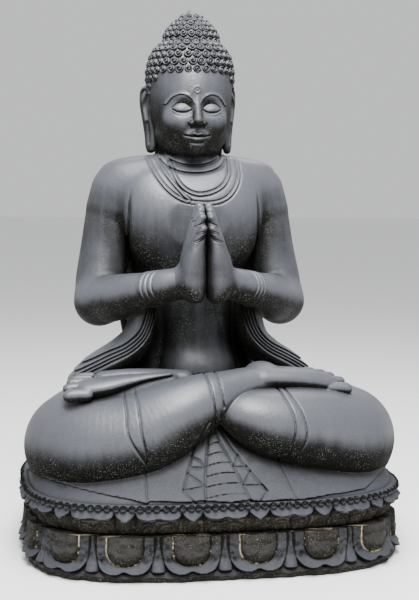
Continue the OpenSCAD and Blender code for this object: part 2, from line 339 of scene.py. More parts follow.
class Sky:
    """How open to the sky each place round the figure is, from a coarse grid of what is solid."""

    def __init__(self, clays):
        self.step = 0.01
        self.low = np.array([-0.5, -0.4, 0.0])
        count = np.array([101, 81, 126])
        axes = [self.low[i] + self.step * np.arange(count[i]) for i in range(3)]
        x, y, z = np.meshgrid(*axes, indexing="ij")
        inset, top = 0.014, 0.155
        wide = (np.abs(x) / (PLINTH_A - inset)) ** SQUARE
        deep = (np.abs(y) / (PLINTH_B - inset)) ** SQUARE
        solid = ((wide + deep < 1) & (z < top)).ravel()
        points = np.stack([x, y, z], -1).reshape(-1, 3)
        for clay in clays:
            high = clay.low + clay.step * (clay.count - 1)
            near = np.nonzero(np.all((points >= clay.low) & (points <= high), 1))[0]
            solid[near] |= clay.at(points[near], True) < -0.002
        reach, rays = 45, 48
        padded = np.pad(solid.reshape(count), reach)
        self.open = np.zeros(count, np.float32)
        for i in range(rays):
            up = 0.05 + 0.93 * (i + 0.5) / rays
            turn = i * math.pi * (3 - math.sqrt(5))
            flat = math.sqrt(1 - up * up)
            way = np.array([flat * math.cos(turn), flat * math.sin(turn), up])
            hit = np.zeros(count, bool)
            for k in range(2, reach):
                a = reach + np.round(way * k).astype(int)
                b = a + count
                hit |= padded[a[0] : b[0], a[1] : b[1], a[2] : b[2]]
            self.open += ~hit / rays

    def on(self, obj):
        """Notes from 0 to 1 how far each place on an object is open to the sky and faces up or toward the
        front, for the material to paint in as light and shade.
        """
        points, normals = points_of(obj), normals_of(obj)
        off_surface = 0.014
        seen = between(self.open, self.low, self.step, points + normals * off_surface)
        facing_front = np.clip(-normals[:, 1], 0, 1)
        tilt = ease((normals[:, 2] + 0.27 + 0.21 * facing_front) / 0.78)
        note(obj, "sky", np.clip(seen * 1.5, 0, 1) * tilt * light_damping(points))


def light_damping(points):
    """How much of the painted sky light each place keeps: less on the face, the closed lids, the hands and
    the upper arms.
    """
    x, y, z = points.T
    aside = np.abs(x - FX)
    face = ease((z - 0.86) / 0.03) * ease((1.035 - z) / 0.02) * ease((-0.02 - y) / 0.03)
    hands = ease((0.12 - aside) / 0.04) * ease((-0.15 - y) / 0.03) * ease((z - 0.46) / 0.03)
    arms = ease((aside - 0.14) / 0.05) * ease((z - 0.565) / 0.04) * ease((0.83 - z) / 0.08)
    lids = face * bell(aside - 0.0335, 0.022) * bell(z - 0.966, 0.013)
    return 1 - 0.46 * face - 0.3 * lids - 0.36 * hands - 0.38 * arms


def surface(name, points, faces):
    """Mesh object from arrays of points and of faces with equal numbers of corners."""
    mesh = bpy.data.meshes.new(name)
    faces = np.ascontiguousarray(faces, dtype=np.int32)
    mesh.vertices.add(len(points))
    mesh.vertices.foreach_set("co", np.asarray(points, np.float32).ravel())
    mesh.loops.add(faces.size)
    mesh.loops.foreach_set("vertex_index", faces.ravel())
    mesh.polygons.add(len(faces))
    mesh.polygons.foreach_set("loop_start", np.arange(0, faces.size, faces.shape[1], dtype=np.int32))
    mesh.polygons.foreach_set("use_smooth", np.ones(len(faces), bool))
    mesh.update(calc_edges=True)
    obj = bpy.data.objects.new(name, mesh)
    bpy.context.collection.objects.link(obj)
    return obj


def normals_of(obj):
    out = np.empty(len(obj.data.vertices) * 3, np.float32)
    obj.data.vertex_normals.foreach_get("vector", out)
    return out.reshape(-1, 3)


def points_of(obj):
    out = np.empty(len(obj.data.vertices) * 3, np.float32)
    obj.data.vertices.foreach_get("co", out)
    return out.reshape(-1, 3)


def note(obj, name, values):
    """Stores one number for each vertex, for the material to read."""
    layer = obj.data.attributes.new(name, "FLOAT", "POINT")
    layer.data.foreach_set("value", np.ascontiguousarray(values, np.float32))


def note_hollows(obj, clay):
    """Notes how hollow the surface is, nearby for painted shade and lime in the cuts, and widely for painted
    shade.
    """
    p, n = points_of(obj), normals_of(obj)
    near = sum(np.clip(1 - clay.at(p + n * r) / r, -1, 1) for r in (0.0025, 0.005)) / 2
    wide = sum(np.clip(1 - clay.at(p + n * r, True) / r, 0, 1) for r in (0.02, 0.04)) / 2
    note(obj, "cut", near)
    note(obj, "hollow", wide)
    return obj


# ---------------------------------------------------------------- trunk, arms and sleeves

ELBOW = np.array([0.208, 0.038, 0.535])
CUFF = np.array([0.112, -0.096, 0.576])


def mirrored(v, side):
    """A place or direction given for the figure's left side (side 1), or its right (-1)."""
    v = np.array(v, float)
    v[0] *= side
    return v


def cuff_plane(side):
    """Where a cuff ends, and the direction of the forearm there."""
    way = mirrored(CUFF - ELBOW, side)
    way /= np.linalg.norm(way)
    return mirrored(CUFF, side) + np.array([FX, 0, 0]), way


def on_side(side, rows):
    """Rows that start with a distance from the mid-plane, placed on one side of the figure."""
    return [(FX + side * r[0],) + tuple(r[1:]) for r in rows]


def line_on_side(side, line):
    """The same for an array of (distance, height)."""
    return np.stack([FX + side * line[:, 0], line[:, 1]], 1)


def neck_shape():
    """The neck, which the trunk and the head share."""
    rows = [
        (FX, 0.102, 0.8, 0.074), (FX, 0.095, 0.85, 0.069), (FX, 0.088, 0.885, 0.067),
        (FX, 0.084, 0.905, 0.062),
    ]
    return limb(rows, 8, (1, 0, 0), 1.13)


def sleeve_fall(side):
    """The sleeve that hangs from the forearm and spreads on the thigh."""
    rows = [
        (0.118, -0.03, 0.562, 0.026),
        (0.117, -0.028, 0.515, 0.029),
        (0.131, -0.022, 0.462, 0.033),
        (0.163, -0.014, 0.428, 0.035),
        (0.206, -0.006, 0.402, 0.033),
        (0.238, 0.002, 0.384, 0.027),
        (0.262, 0.01, 0.366, 0.018),
    ]
    return limb(on_side(side, rows), 8, (0, 1, 0), 2.2)


def sleeve_pleats(clay, side):
    """Ridges along the front edge of the hanging sleeve."""
    fall = [
        (0.097, 0.6), (0.098, 0.56), (0.103, 0.515), (0.119, 0.474), (0.151, 0.443), (0.196, 0.419),
        (0.236, 0.396), (0.266, 0.376),
    ]
    fall = line_on_side(side, smooth(fall, 6))
    for row in range(4):
        clay.score(beside(fall, side * 0.0062 * (row - 0.4)), 0.0018, 0.0038, (-0.15, 0.035))


def make_torso():
    clay = Clay((-0.335, -0.15, 0.384), (0.272, 0.235, 0.874), 0.0016)
    trunk = [
        (0.38, FX, 0.1, 0.158, 0.112, 2.4),
        (0.45, FX, 0.098, 0.138, 0.106, 2.3),
        (0.52, FX, 0.096, 0.13, 0.108, 2.3),
        (0.6, FX, 0.092, 0.129, 0.115, 2.3),
        (0.66, FX, 0.09, 0.136, 0.117, 2.3),
        (0.72, FX, 0.088, 0.148, 0.119, 2.3),
        (0.77, FX, 0.088, 0.168, 0.111, 2.3),
        (0.812, FX, 0.09, 0.188, 0.095, 2.3),
        (0.84, FX, 0.091, 0.184, 0.08, 2.2),
        (0.856, FX, 0.09, 0.152, 0.07, 2.2),
        (0.866, FX, 0.088, 0.1, 0.064, 2.1),
        (0.869, FX, 0.086, 0.06, 0.058, 2.0),
    ]
    clay.add(loft(trunk))
    for s in (-1, 1):
        clay.add(ball((FX + s * 0.066, 0.013, 0.722), (0.086, 0.036, 0.1)), 0.05)
        shoulder = [
            (0.085, 0.094, 0.826, 0.036), (0.15, 0.09, 0.8, 0.056), (0.172, 0.088, 0.745, 0.06),
        ]
        clay.add(limb(on_side(s, shoulder)), 0.03)
        # robe that closes the hollow between the arm and the ribs
        web = [
            (0.134, 0.11, 0.76, 0.026), (0.14, 0.104, 0.66, 0.026), (0.143, 0.092, 0.58, 0.028),
            (0.136, 0.07, 0.51, 0.024), (0.132, 0.05, 0.45, 0.018),
        ]
        clay.add(limb(on_side(s, web)), 0.01)
    belly = [
        (0.38, -0.022, 0.016, 0.086, 0.084, 2.6),
        (0.404, -0.022, 0.018, 0.085, 0.082, 2.6),
        (0.42, -0.022, 0.02, 0.082, 0.079, 2.6),
        (0.436, -0.022, 0.022, 0.078, 0.074, 2.6),
        (0.456, -0.023, 0.024, 0.076, 0.072, 2.6),
        (0.49, -0.024, 0.026, 0.0765, 0.0715, 2.5),
        (0.54, -0.026, 0.032, 0.081, 0.07, 2.4),
        (0.6, -0.03, 0.044, 0.089, 0.066, 2.4),
    ]
    clay.add(loft(belly), 0.006)
    clay.add(neck_shape(), 0.016)
    for s in (-1, 1):
        upper = [
            (0.16, 0.09, 0.785, 0.062),
            (0.174, 0.088, 0.732, 0.0595),
            (0.19, 0.082, 0.655, 0.0555),
            (0.203, 0.066, 0.585, 0.0545),
            (0.207, 0.044, 0.54, 0.053),
        ]
        clay.add(limb(on_side(s, upper)), 0.004)
        fore = [
            (0.207, 0.044, 0.54, 0.053),
            (0.172, -0.016, 0.553, 0.05),
            (0.14, -0.062, 0.566, 0.043),
            (0.112, -0.096, 0.576, 0.0368),
            (0.095, -0.12, 0.583, 0.035),
        ]
        clay.add(limb(on_side(s, fore)), 0.012)
        clay.add(sleeve_fall(s), 0.01)
        sleeve_pleats(clay, s)
        clay.keep(cuff_cut(s))
        arm_crease(clay, s)
    # necklines
    bands = [
        [
            (-0.134, 0.872), (-0.124, 0.832), (-0.101, 0.795), (-0.072, 0.771), (-0.041, 0.761),
            (0.006, 0.76), (0.04, 0.774), (0.061, 0.801), (0.07, 0.834), (0.067, 0.872),
        ],
        [(-0.116, 0.872), (-0.099, 0.828), (-0.077, 0.797), (-0.048, 0.765)],
        [
            (-0.084, 0.85), (-0.074, 0.812), (-0.055, 0.789), (-0.027, 0.779), (0.006, 0.785),
            (0.031, 0.801), (0.045, 0.827), (0.049, 0.872),
        ],
    ]
    for band in bands:
        clay.score(smooth(band, 8), 0.0016, 0.0036, (-0.15, 0.08), 0.0042, 0.0014)
    # creases round the neck
    for drop in (0.0, 0.017):
        crease = [
            (-0.068, 0.874), (-0.056, 0.858), (-0.03, 0.846), (0.0, 0.8425), (0.03, 0.846),
            (0.056, 0.858), (0.068, 0.874),
        ]
        crease = [(FX + x * (1 + drop * 6), z - drop) for x, z in crease]
        clay.score(smooth(crease, 6), 0.0026, 0.0052, (-0.1, 0.09))
    # long folds on the back
    folds = [
        [(-0.2, 0.8), (-0.12, 0.72), (-0.02, 0.62), (0.06, 0.5), (0.1, 0.4)],
        [(-0.16, 0.82), (-0.07, 0.74), (0.03, 0.63), (0.1, 0.52), (0.13, 0.42)],
        [(-0.22, 0.74), (-0.16, 0.66), (-0.08, 0.56), (-0.01, 0.46), (0.03, 0.39)],
        [(-0.21, 0.64), (-0.17, 0.57), (-0.11, 0.47), (-0.07, 0.39)],
        [(-0.1, 0.845), (-0.02, 0.78), (0.07, 0.68), (0.14, 0.57)],
    ]
    for fold in folds:
        clay.score(smooth(fold, 6), 0.005, 0.0055, (0.12, 0.26))
    clay.keep(half_space((0, 0, WAIST_Z), (0, 0, -1)))
    clay.keep(half_space((0, 0, NECK_Z), (0, 0, 1)))
    return clay.mesh("torso")


def arm_crease(clay, side):
    """The crease between an arm and the chest, fading out at both ends."""
    line = [(0.138, 0.8), (0.144, 0.76), (0.145, 0.71), (0.144, 0.66), (0.145, 0.62)]
    line = line_on_side(side, smooth(line, 6))

    def field(x, _, z):
        fade = ease((z - 0.612) / 0.03) * ease((0.8 - z) / 0.06)
        return 0.006 * bell(gap_to(line, x, z), 0.003) * fade

    clay.press(field, (line[:, 0].min() - 0.01, -0.1, 0.6), (line[:, 0].max() + 0.01, 0.085, 0.81))


def cuff_cut(side):
    """Everything but what lies beyond the cuff, near the hands."""
    point, way = cuff_plane(side)

    def field(x, y, z):
        ahead = (x - point[0]) * way[0] + (y - point[1]) * way[1] + (z - point[2]) * way[2]
        near = 0.085 - np.sqrt((x - point[0]) ** 2 + (y - point[1]) ** 2 + (z - point[2]) ** 2)
        return np.minimum(ahead, near)

    return boundless(field)


# ---------------------------------------------------------------- legs, feet and skirt


def make_lap():
    clay = Clay((-0.432, -0.32, 0.153), (0.428, 0.312, 0.44), 0.0018)
    body = [
        (0.15, 0.0, -0.003, 0.404, 0.298, 3.1),
        (0.172, 0.0, -0.003, 0.399, 0.292, 3.0),
        (0.22, -0.004, 0.02, 0.374, 0.244, 2.6),
        (0.285, -0.008, 0.05, 0.336, 0.206, 2.4),
        (0.34, -0.016, 0.07, 0.286, 0.174, 2.3),
        (0.392, -0.028, 0.084, 0.228, 0.132, 2.3),
    ]
    clay.add(loft(body))
    # skirt that spreads in front of the shins
    skirt = [
        (0.15, 0.0, 0.0, 0.405, 0.305, 3.2),
        (0.166, 0.0, 0.0, 0.399, 0.3, 3.1),
        (0.182, -0.004, 0.0, 0.376, 0.288, 2.9),
        (0.205, -0.012, 0.0, 0.32, 0.27, 2.7),
        (0.235, -0.022, 0.0, 0.225, 0.248, 2.4),
        (0.265, -0.027, 0.0, 0.135, 0.229, 2.2),
        (0.295, -0.028, 0.0, 0.07, 0.214, 2.0),
        (0.32, -0.028, 0.0, 0.03, 0.202, 2.0),
    ]
    clay.add(loft(skirt), 0.008)
    knees = {-1: (-0.297, -0.088, 0.246, 0.112), 1: (0.291, -0.09, 0.246, 0.113)}
    for s in (-1, 1):
        thigh = [
            (s * 0.08, 0.15, 0.268, 0.09), (s * 0.195, 0.06, 0.266, 0.108),
            (s * 0.262, -0.02, 0.254, 0.1125), knees[s],
        ]
        clay.add(limb(thigh), 0.03)
        clay.add(sleeve_fall(s), 0.006)
        sleeve_pleats(clay, s)
    clay.keep(half_space((0, 0, WAIST_Z), (0, 0, 1)))
    under_shin = [
        knees[1],
        (0.272, -0.135, 0.256, 0.103),
        (0.222, -0.166, 0.274, 0.093),
        (0.16, -0.19, 0.29, 0.083),
        (0.1, -0.206, 0.304, 0.07),
        (0.05, -0.214, 0.319, 0.053),
        (0.012, -0.216, 0.327, 0.031),
    ]
    clay.add(limb(under_shin), 0.003)
    over_shin = [
        knees[-1],
        (-0.264, -0.142, 0.252, 0.103),
        (-0.18, -0.18, 0.274, 0.092),
        (-0.105, -0.2, 0.318, 0.076),
        (-0.05, -0.204, 0.347, 0.061),
        (0.0, -0.194, 0.366, 0.046),
        (0.05, -0.178, 0.38, 0.0365),
        (0.1, -0.164, 0.386, 0.0335),
    ]
    clay.add(limb(over_shin), 0.002)
    # doubled seams round the legs
    seams = [
        [(-0.204, 0.4), (-0.208, 0.338), (-0.204, 0.29), (-0.168, 0.232)],
        [(-0.186, 0.395), (-0.181, 0.309), (-0.166, 0.238)],
        [(-0.046, 0.425), (-0.031, 0.364), (-0.026, 0.31)],
        [(-0.021, 0.425), (-0.012, 0.376), (-0.008, 0.345)],
        [(0.116, 0.372), (0.134, 0.33), (0.137, 0.289), (0.127, 0.235)],
        [(0.131, 0.372), (0.154, 0.33), (0.161, 0.278), (0.14, 0.232)],
    ]
    for i, seam in enumerate(seams):
        front = (-0.32, -0.185) if i > 3 else (-0.32, -0.16)
        clay.score(smooth(seam, 8), 0.002, 0.0042, front)
    skirt_front(clay)
    feet(clay)
    hem(clay)
    clay.keep(half_space((0, 0, LAP_Z), (0, 0, -1)))
    return clay.mesh("lap")


def feet(clay):
    """One foot lies over the left thigh and the other's sole turns up on the right thigh."""
    up = (0, 0, 1)
    over = [
        (0.09, -0.166, 0.393, 0.037), (0.14, -0.16, 0.39, 0.038), (0.185, -0.154, 0.385, 0.037),
        (0.215, -0.151, 0.379, 0.034), (0.234, -0.15, 0.3745, 0.027),
    ]
    clay.add(limb(over, 8, up, 0.66), 0.004)
    clay.add(ball((0.088, -0.15, 0.408), (0.03, 0.024, 0.018)), 0.016)
    cloth = [
        (-0.24, -0.106, 0.376, 0.028), (-0.19, -0.114, 0.382, 0.027),
        (-0.13, -0.12, 0.385, 0.024), (-0.07, -0.12, 0.386, 0.02),
    ]
    clay.add(limb(cloth), 0.02)
    under = [
        (-0.105, -0.146, 0.386, 0.012),
        (-0.14, -0.15, 0.371, 0.021),
        (-0.167, -0.15, 0.361, 0.025),
        (-0.205, -0.148, 0.349, 0.026),
        (-0.245, -0.145, 0.334, 0.027),
    ]
    clay.add(limb(under), 0.014)
    turned = [
        (-0.11, -0.15, 0.401, 0.01),
        (-0.14, -0.152, 0.398, 0.015),
        (-0.167, -0.152, 0.394, 0.019),
        (-0.205, -0.15, 0.387, 0.028),
        (-0.245, -0.148, 0.378, 0.037),
        (-0.272, -0.147, 0.3735, 0.037),
    ]
    clay.add(limb(turned, 8, up, 0.52), 0.002)
    toes = {
        1: [
            ((0.236, -0.17, 0.369), (0.2735, -0.168, 0.3665), 0.0138),
            ((0.232, -0.152, 0.383), (0.2655, -0.149, 0.38), 0.0108),
            ((0.222, -0.136, 0.39), (0.248, -0.132, 0.388), 0.0102),
            ((0.212, -0.12, 0.394), (0.233, -0.116, 0.3925), 0.0096),
            ((0.198, -0.105, 0.3965), (0.214, -0.101, 0.3955), 0.009),
        ],
        -1: [
            ((-0.283, -0.176, 0.365), (-0.3185, -0.172, 0.363), 0.014),
            ((-0.281, -0.157, 0.378), (-0.321, -0.153, 0.3755), 0.0108),
            ((-0.278, -0.14, 0.386), (-0.313, -0.136, 0.3835), 0.0102),
            ((-0.274, -0.124, 0.391), (-0.304, -0.12, 0.3885), 0.0096),
            ((-0.268, -0.109, 0.3935), (-0.294, -0.105, 0.3915), 0.009),
        ],
    }
    for s in (-1, 1):
        for a, b, r in toes[s]:
            clay.add(limb([a + (r * 0.94,), b + (r,)], 1), 0.0015)
            nail = (b[0] + s * r * 0.35, b[1] - r * 0.3, b[2] + r * 0.9)
            clay.press(pad(nail, r * 0.55, 0.0016), np.array(nail) - r, np.array(nail) + r)


def pad(centre, radius, depth):
    """A round shallow mark."""

    def field(x, y, z):
        far = (x - centre[0]) ** 2 + (y - centre[1]) ** 2 + (z - centre[2]) ** 2
        return depth * np.exp(-(far / radius**2))

    return field


def skirt_front(clay):
    """Stepped centre panel, its zigzag sides and the long seams of the skirt."""
    front = (-0.33, -0.19)
    left = smooth([(-0.03, 0.318), (-0.035, 0.283), (-0.044, 0.232), (-0.05, 0.198), (-0.055, 0.15)], 4)
    right = smooth([(-0.026, 0.318), (-0.019, 0.29), (0.008, 0.232), (0.028, 0.19), (0.044, 0.15)], 4)
    left_out = smooth([(-0.04, 0.318), (-0.058, 0.283), (-0.08, 0.224), (-0.096, 0.184)], 4)
    right_out = smooth([(-0.018, 0.318), (-0.008, 0.293), (0.036, 0.226), (0.076, 0.178)], 4)

    def steps(x, y, z):
        a = np.interp(z, left[::-1, 1], left[::-1, 0])
        b = np.interp(z, right[::-1, 1], right[::-1, 0])
        inside = ease((x - a) / 0.002) * ease((b - x) / 0.002)
        mid = (x - (a + b) / 2) / (b - a + 1e-3)
        phase = (z - 0.157 + 0.014 * mid * mid - 0.006 * mid) / 0.0185
        phase = phase - np.floor(phase)
        lips = 0.0024 * bell(phase, 0.07) + 0.0024 * bell(1 - phase, 0.07)
        return inside * (0.0016 - 0.003 * (1 - phase) + lips)

    clay.press(steps, (-0.062, front[0], 0.15), (0.052, front[1], 0.3))
    for path in (left, right, left_out, right_out):
        clay.score(path, 0.002, 0.0046, front)
    zigzags = [
        [(-0.073, 0.243), (-0.056, 0.235), (-0.047, 0.222), (-0.077, 0.223)],
        [(-0.084, 0.212), (-0.062, 0.198), (-0.053, 0.189), (-0.096, 0.183), (-0.072, 0.158)],
        [(0.024, 0.242), (0.015, 0.227), (0.012, 0.222), (0.039, 0.221)],
        [(0.046, 0.213), (0.034, 0.198), (0.029, 0.189), (0.068, 0.188), (0.076, 0.178), (0.057, 0.158)],
    ]
    for path in zigzags:
        clay.score(path, 0.002, 0.0042, front)
    seams = [
        [(-0.168, 0.245), (-0.17, 0.197), (-0.172, 0.15)],
        [(0.11, 0.236), (0.126, 0.19), (0.141, 0.15)],
    ]
    for path in seams:
        clay.score(smooth(path, 4), 0.0017, 0.004, front)


def hem(clay):
    """Undercuts the skirt below a wavy edge, so that it overhangs the seat."""
    wave = [
        (-0.38, 0.19), (-0.286, 0.18), (-0.206, 0.17), (-0.171, 0.162), (-0.165, 0.167),
        (-0.084, 0.1635), (-0.064, 0.166), (-0.002, 0.161),
    ]
    wave += [
        (0.036, 0.165), (0.056, 0.161), (0.123, 0.162), (0.138, 0.16), (0.208, 0.166), (0.293, 0.168),
        (0.38, 0.192),
    ]
    wave = np.array(wave)

    def field(x, y, z):
        front = np.interp(x, wave[:, 0], wave[:, 1])
        turn = np.arctan2(y / 0.29, x / 0.4)
        back = 0.171 + 0.003 * np.cos(turn * 9 + 0.6) + 0.004 * np.cos(turn * 5 + 2.0)
        edge = front + (back - front) * ease((y + 0.1) / 0.12)
        return 0.0065 * ease((edge - z) / 0.002 + 0.5)

    clay.press(field, (-0.45, -0.34, 0.1), (0.45, 0.34, 0.2))


# ---------------------------------------------------------------- hands


def make_hands():
    clay = Clay((FX - 0.152, -0.214, 0.53), (FX + 0.152, -0.052, 0.776), 0.0012)
    fingers = [
        # middle y, height of the tip, radius, how far out its knuckle lies
        (-0.176, 0.718, 0.0096, 0.028),
        (-0.159, 0.741, 0.0102, 0.0315),
        (-0.1415, 0.755, 0.0104, 0.033),
        (-0.124, 0.764, 0.0102, 0.033),
    ]
    for s in (-1, 1):
        palm = [
            (0.552, FX + s * 0.022, -0.15, 0.01, 0.026, 2.1),
            (0.562, FX + s * 0.024, -0.152, 0.02, 0.038, 2.2),
            (0.585, FX + s * 0.029, -0.152, 0.0275, 0.043, 2.4),
            (0.61, FX + s * 0.03, -0.151, 0.0295, 0.042, 2.5),
            (0.64, FX + s * 0.0275, -0.151, 0.0265, 0.04, 2.6),
            (0.665, FX + s * 0.024, -0.151, 0.0215, 0.037, 2.6),
            (0.69, FX + s * 0.018, -0.15, 0.0165, 0.032, 2.6),
            (0.71, FX + s * 0.013, -0.146, 0.0125, 0.027, 2.6),
            (0.735, FX + s * 0.0095, -0.139, 0.009, 0.019, 2.6),
            (0.75, FX + s * 0.009, -0.132, 0.0086, 0.011, 2.4),
            (0.757, FX + s * 0.009, -0.128, 0.007, 0.006, 2.0),
        ]
        clay.add(loft(palm), 0.002)
        wrist = [
            (0.034, -0.146, 0.596, 0.034),
            (0.058, -0.138, 0.591, 0.0345),
            (0.08, -0.128, 0.586, 0.036),
            (0.097, -0.114, 0.581, 0.0378),
            (0.112, -0.096, 0.576, 0.0392),
            (0.13, -0.071, 0.568, 0.0405),
        ]
        clay.add(limb(on_side(s, wrist)), 0.014)
        thumb = [
            (0.04, -0.118, 0.606, 0.018), (0.03, -0.104, 0.64, 0.0135),
            (0.02, -0.1, 0.672, 0.0115), (0.012, -0.104, 0.694, 0.0095),
        ]
        clay.add(limb(on_side(s, thumb)), 0.006)
        for y, z, r, out in fingers:
            path = [
                (out + 0.0065, y * 0.97 - 0.004, 0.638, r * 1.15),
                (out, y * 0.985 - 0.002, 0.668, r * 1.12),
                (0.0098 + (out - 0.0098) * 0.55, y, 0.668 + (z - r - 0.668) * 0.5, r * 1.02),
                (0.0098, y, z - r, r * 0.97),
            ]
            clay.add(limb(on_side(s, path)), 0.0012)
            for part in (0.36, 0.66):
                knuckle = (FX + s * (0.0098 + (out - 0.0098) * (1 - part)), y, 0.664 + (z - 0.664) * part)
                clay.ring(knuckle, (0.35 * s, 0, 1), [-0.0017, 0.0017], 0.0009, 0.0012, 0.0125)
    # the seam between the two hands
    clay.press(
        lambda x, y, z: 0.005 * bell(x - FX, 0.0011) * ease((z - 0.556) / 0.03),
        (FX - 0.006, -0.22, 0.55),
        (FX + 0.006, -0.05, 0.78),
    )
    for s in (-1, 1):
        point, way = cuff_plane(s)
        clay.ring(point, way, [0.015, 0.028, 0.041], 0.0019, 0.0032, 0.075)
        clay.keep(half_space(point, -way))
    return clay.mesh("hands")


# ---------------------------------------------------------------- head

HAIRLINE_Z = 1.04
HEAD_Y = 0.08
SCALP = [
    (0.88, 0.05, 0.052),
    (0.905, 0.064, 0.066),
    (0.94, 0.079, 0.082),
    (0.98, 0.087, 0.094),
    (1.02, 0.093, 0.102),
    (1.05, 0.0945, 0.103),
    (1.075, 0.0905, 0.0985),
    (1.094, 0.083, 0.09),
    (1.106, 0.0735, 0.08),
    (1.1155, 0.062, 0.067),
]


def ear(clay, side):
    """Long ear that leans out as it goes back, with a rim, a hollow and a slit lobe."""
    lean = (side * 0.5, 0.87, 0)
    plate = [
        (0.092, 0.09, 1.008, 0.009),
        (0.094, 0.088, 0.988, 0.011),
        (0.0915, 0.084, 0.955, 0.0098),
        (0.0885, 0.082, 0.92, 0.0088),
        (0.0875, 0.081, 0.89, 0.0086),
        (0.0875, 0.08, 0.879, 0.0074),
    ]
    clay.add(limb(on_side(side, plate), 8, lean, 1.9), 0.004)
    rim = [
        (0.086, 0.068, 0.98, 0.0045),
        (0.089, 0.072, 1.006, 0.0052),
        (0.097, 0.09, 1.0175, 0.0056),
        (0.104, 0.104, 1.01, 0.006),
        (0.105, 0.106, 0.985, 0.0056),
        (0.101, 0.1, 0.95, 0.005),
        (0.096, 0.093, 0.915, 0.0048),
        (0.093, 0.089, 0.888, 0.0052),
    ]
    clay.add(limb(on_side(side, rim)), 0.003)
    hollow = [
        (0.0985, 0.077, 0.998, 0.008), (0.103, 0.0805, 0.976, 0.009),
        (0.101, 0.078, 0.954, 0.0068),
    ]
    clay.cut(limb(on_side(side, hollow)), 0.004)
    slit = [
        (0.098, 0.075, 0.938, 0.0046), (0.0965, 0.074, 0.915, 0.0056),
        (0.0955, 0.073, 0.896, 0.0044),
    ]
    clay.cut(limb(on_side(side, slit)), 0.003)
    clay.add(ball((FX + side * 0.086, 0.066, 0.968), (0.005, 0.006, 0.008)), 0.004)


def make_head():
    clay = Clay((FX - 0.116, -0.062, 0.858), (FX + 0.116, 0.196, 1.119), 0.0013)
    clay.add(loft([(z, FX, HEAD_Y, a, b, 2.15) for z, a, b in SCALP]))
    clay.add(ball((FX, 0.056, 0.975), (0.082, 0.087, 0.101)), 0.03)
    clay.add(ball((FX, 0.036, 0.922), (0.06, 0.0655, 0.056)), 0.03)
    clay.add(neck_shape(), 0.008)
    # chin and jaw
    clay.add(ball((FX, -0.016, 0.884), (0.022, 0.019, 0.018)), 0.02)
    for s in (-1, 1):
        clay.add(ball((FX + s * 0.039, -0.005, 0.936), (0.025, 0.019, 0.027)), 0.026)
        clay.add(
            limb(on_side(s, [(0.062, 0.052, 0.908, 0.016), (0.038, 0.012, 0.886, 0.015)])),
            0.022,
        )
        eye(clay, s)
        ear(clay, s)
    nose(clay)
    mouth(clay)

    def mark(x, y, z):
        """A ring round a dot on the forehead."""
        d = np.sqrt((x - FX) ** 2 + (z - 1.008) ** 2)
        return -0.0024 * bell(d, 0.0024) - 0.0022 * bell(d - 0.0066, 0.0015)

    clay.press(mark, (FX - 0.013, -0.06, 0.994), (FX + 0.013, 0.0, 1.022))
    # the chin hangs a little below the neck's joint
    clay.keep(above_joint())
    clay.keep(half_space((0, 0, CROWN_Z), (0, 0, 1)))
    return clay.mesh("head")


def above_joint():
    """Everything above the joint at the neck or in front of the neck."""
    neck_front = 0.016
    return boundless(lambda x, y, z: np.minimum(NECK_Z - z, y - neck_front) + 0 * x)


def eye(clay, side):
    """Closed eye below an arched brow."""
    clay.cut(ball((FX + side * 0.034, -0.04, 0.97), (0.023, 0.0155, 0.015)), 0.014)
    clay.add(ball((FX + side * 0.0335, -0.012, 0.9645), (0.0185, 0.015, 0.0125)), 0.007)
    brow = smooth(
        [(0.0075, 0.976), (0.015, 0.989), (0.033, 0.9975), (0.052, 0.9915), (0.065, 0.976)], 6,
    )

    def brow_edge(x, y, z):
        x = (x - FX) * side
        above = z - np.interp(x, brow[:, 0], brow[:, 1])
        return -0.0022 * bell(gap_to(brow, x, z), 0.004) * ease(0.5 + above / 0.0022)

    low, high = FX + side * 0.077, FX - side * 0.005
    clay.press(brow_edge, (min(low, high), -0.07, 0.96), (max(low, high), 0.04, 1.012))
    lid = [(0.013, 0.964), (0.022, 0.9596), (0.0335, 0.958), (0.045, 0.9598), (0.054, 0.9652)]
    rim = [(0.015, 0.9605), (0.023, 0.9552), (0.0335, 0.9532), (0.044, 0.9554), (0.052, 0.961)]
    fold = [(0.015, 0.969), (0.0235, 0.976), (0.0335, 0.9785), (0.0445, 0.976), (0.054, 0.969)]
    for line, width, depth in ((lid, 0.0012, 0.0028), (rim, 0.0016, -0.001), (fold, 0.0015, 0.0015)):
        clay.score(line_on_side(side, smooth(line, 6)), width, depth, (-0.07, 0.03))


def nose(clay):
    bridge = [
        (FX, -0.023, 0.996, 0.0075), (FX, -0.0285, 0.976, 0.007), (FX, -0.037, 0.956, 0.008),
        (FX, -0.045, 0.9385, 0.01),
    ]
    clay.add(limb(bridge), 0.007)
    for s in (-1, 1):
        clay.add(ball((FX + s * 0.0125, -0.034, 0.9345), (0.0074, 0.011, 0.007)), 0.004)
        clay.cut(ball((FX + s * 0.0068, -0.041, 0.9268), (0.0034, 0.0056, 0.0034)), 0.002)
        groove = smooth([(0.0155, 0.94), (0.0195, 0.934), (0.0175, 0.928)], 4)
        clay.score(line_on_side(s, groove), 0.0016, 0.0014, (-0.07, 0.0))


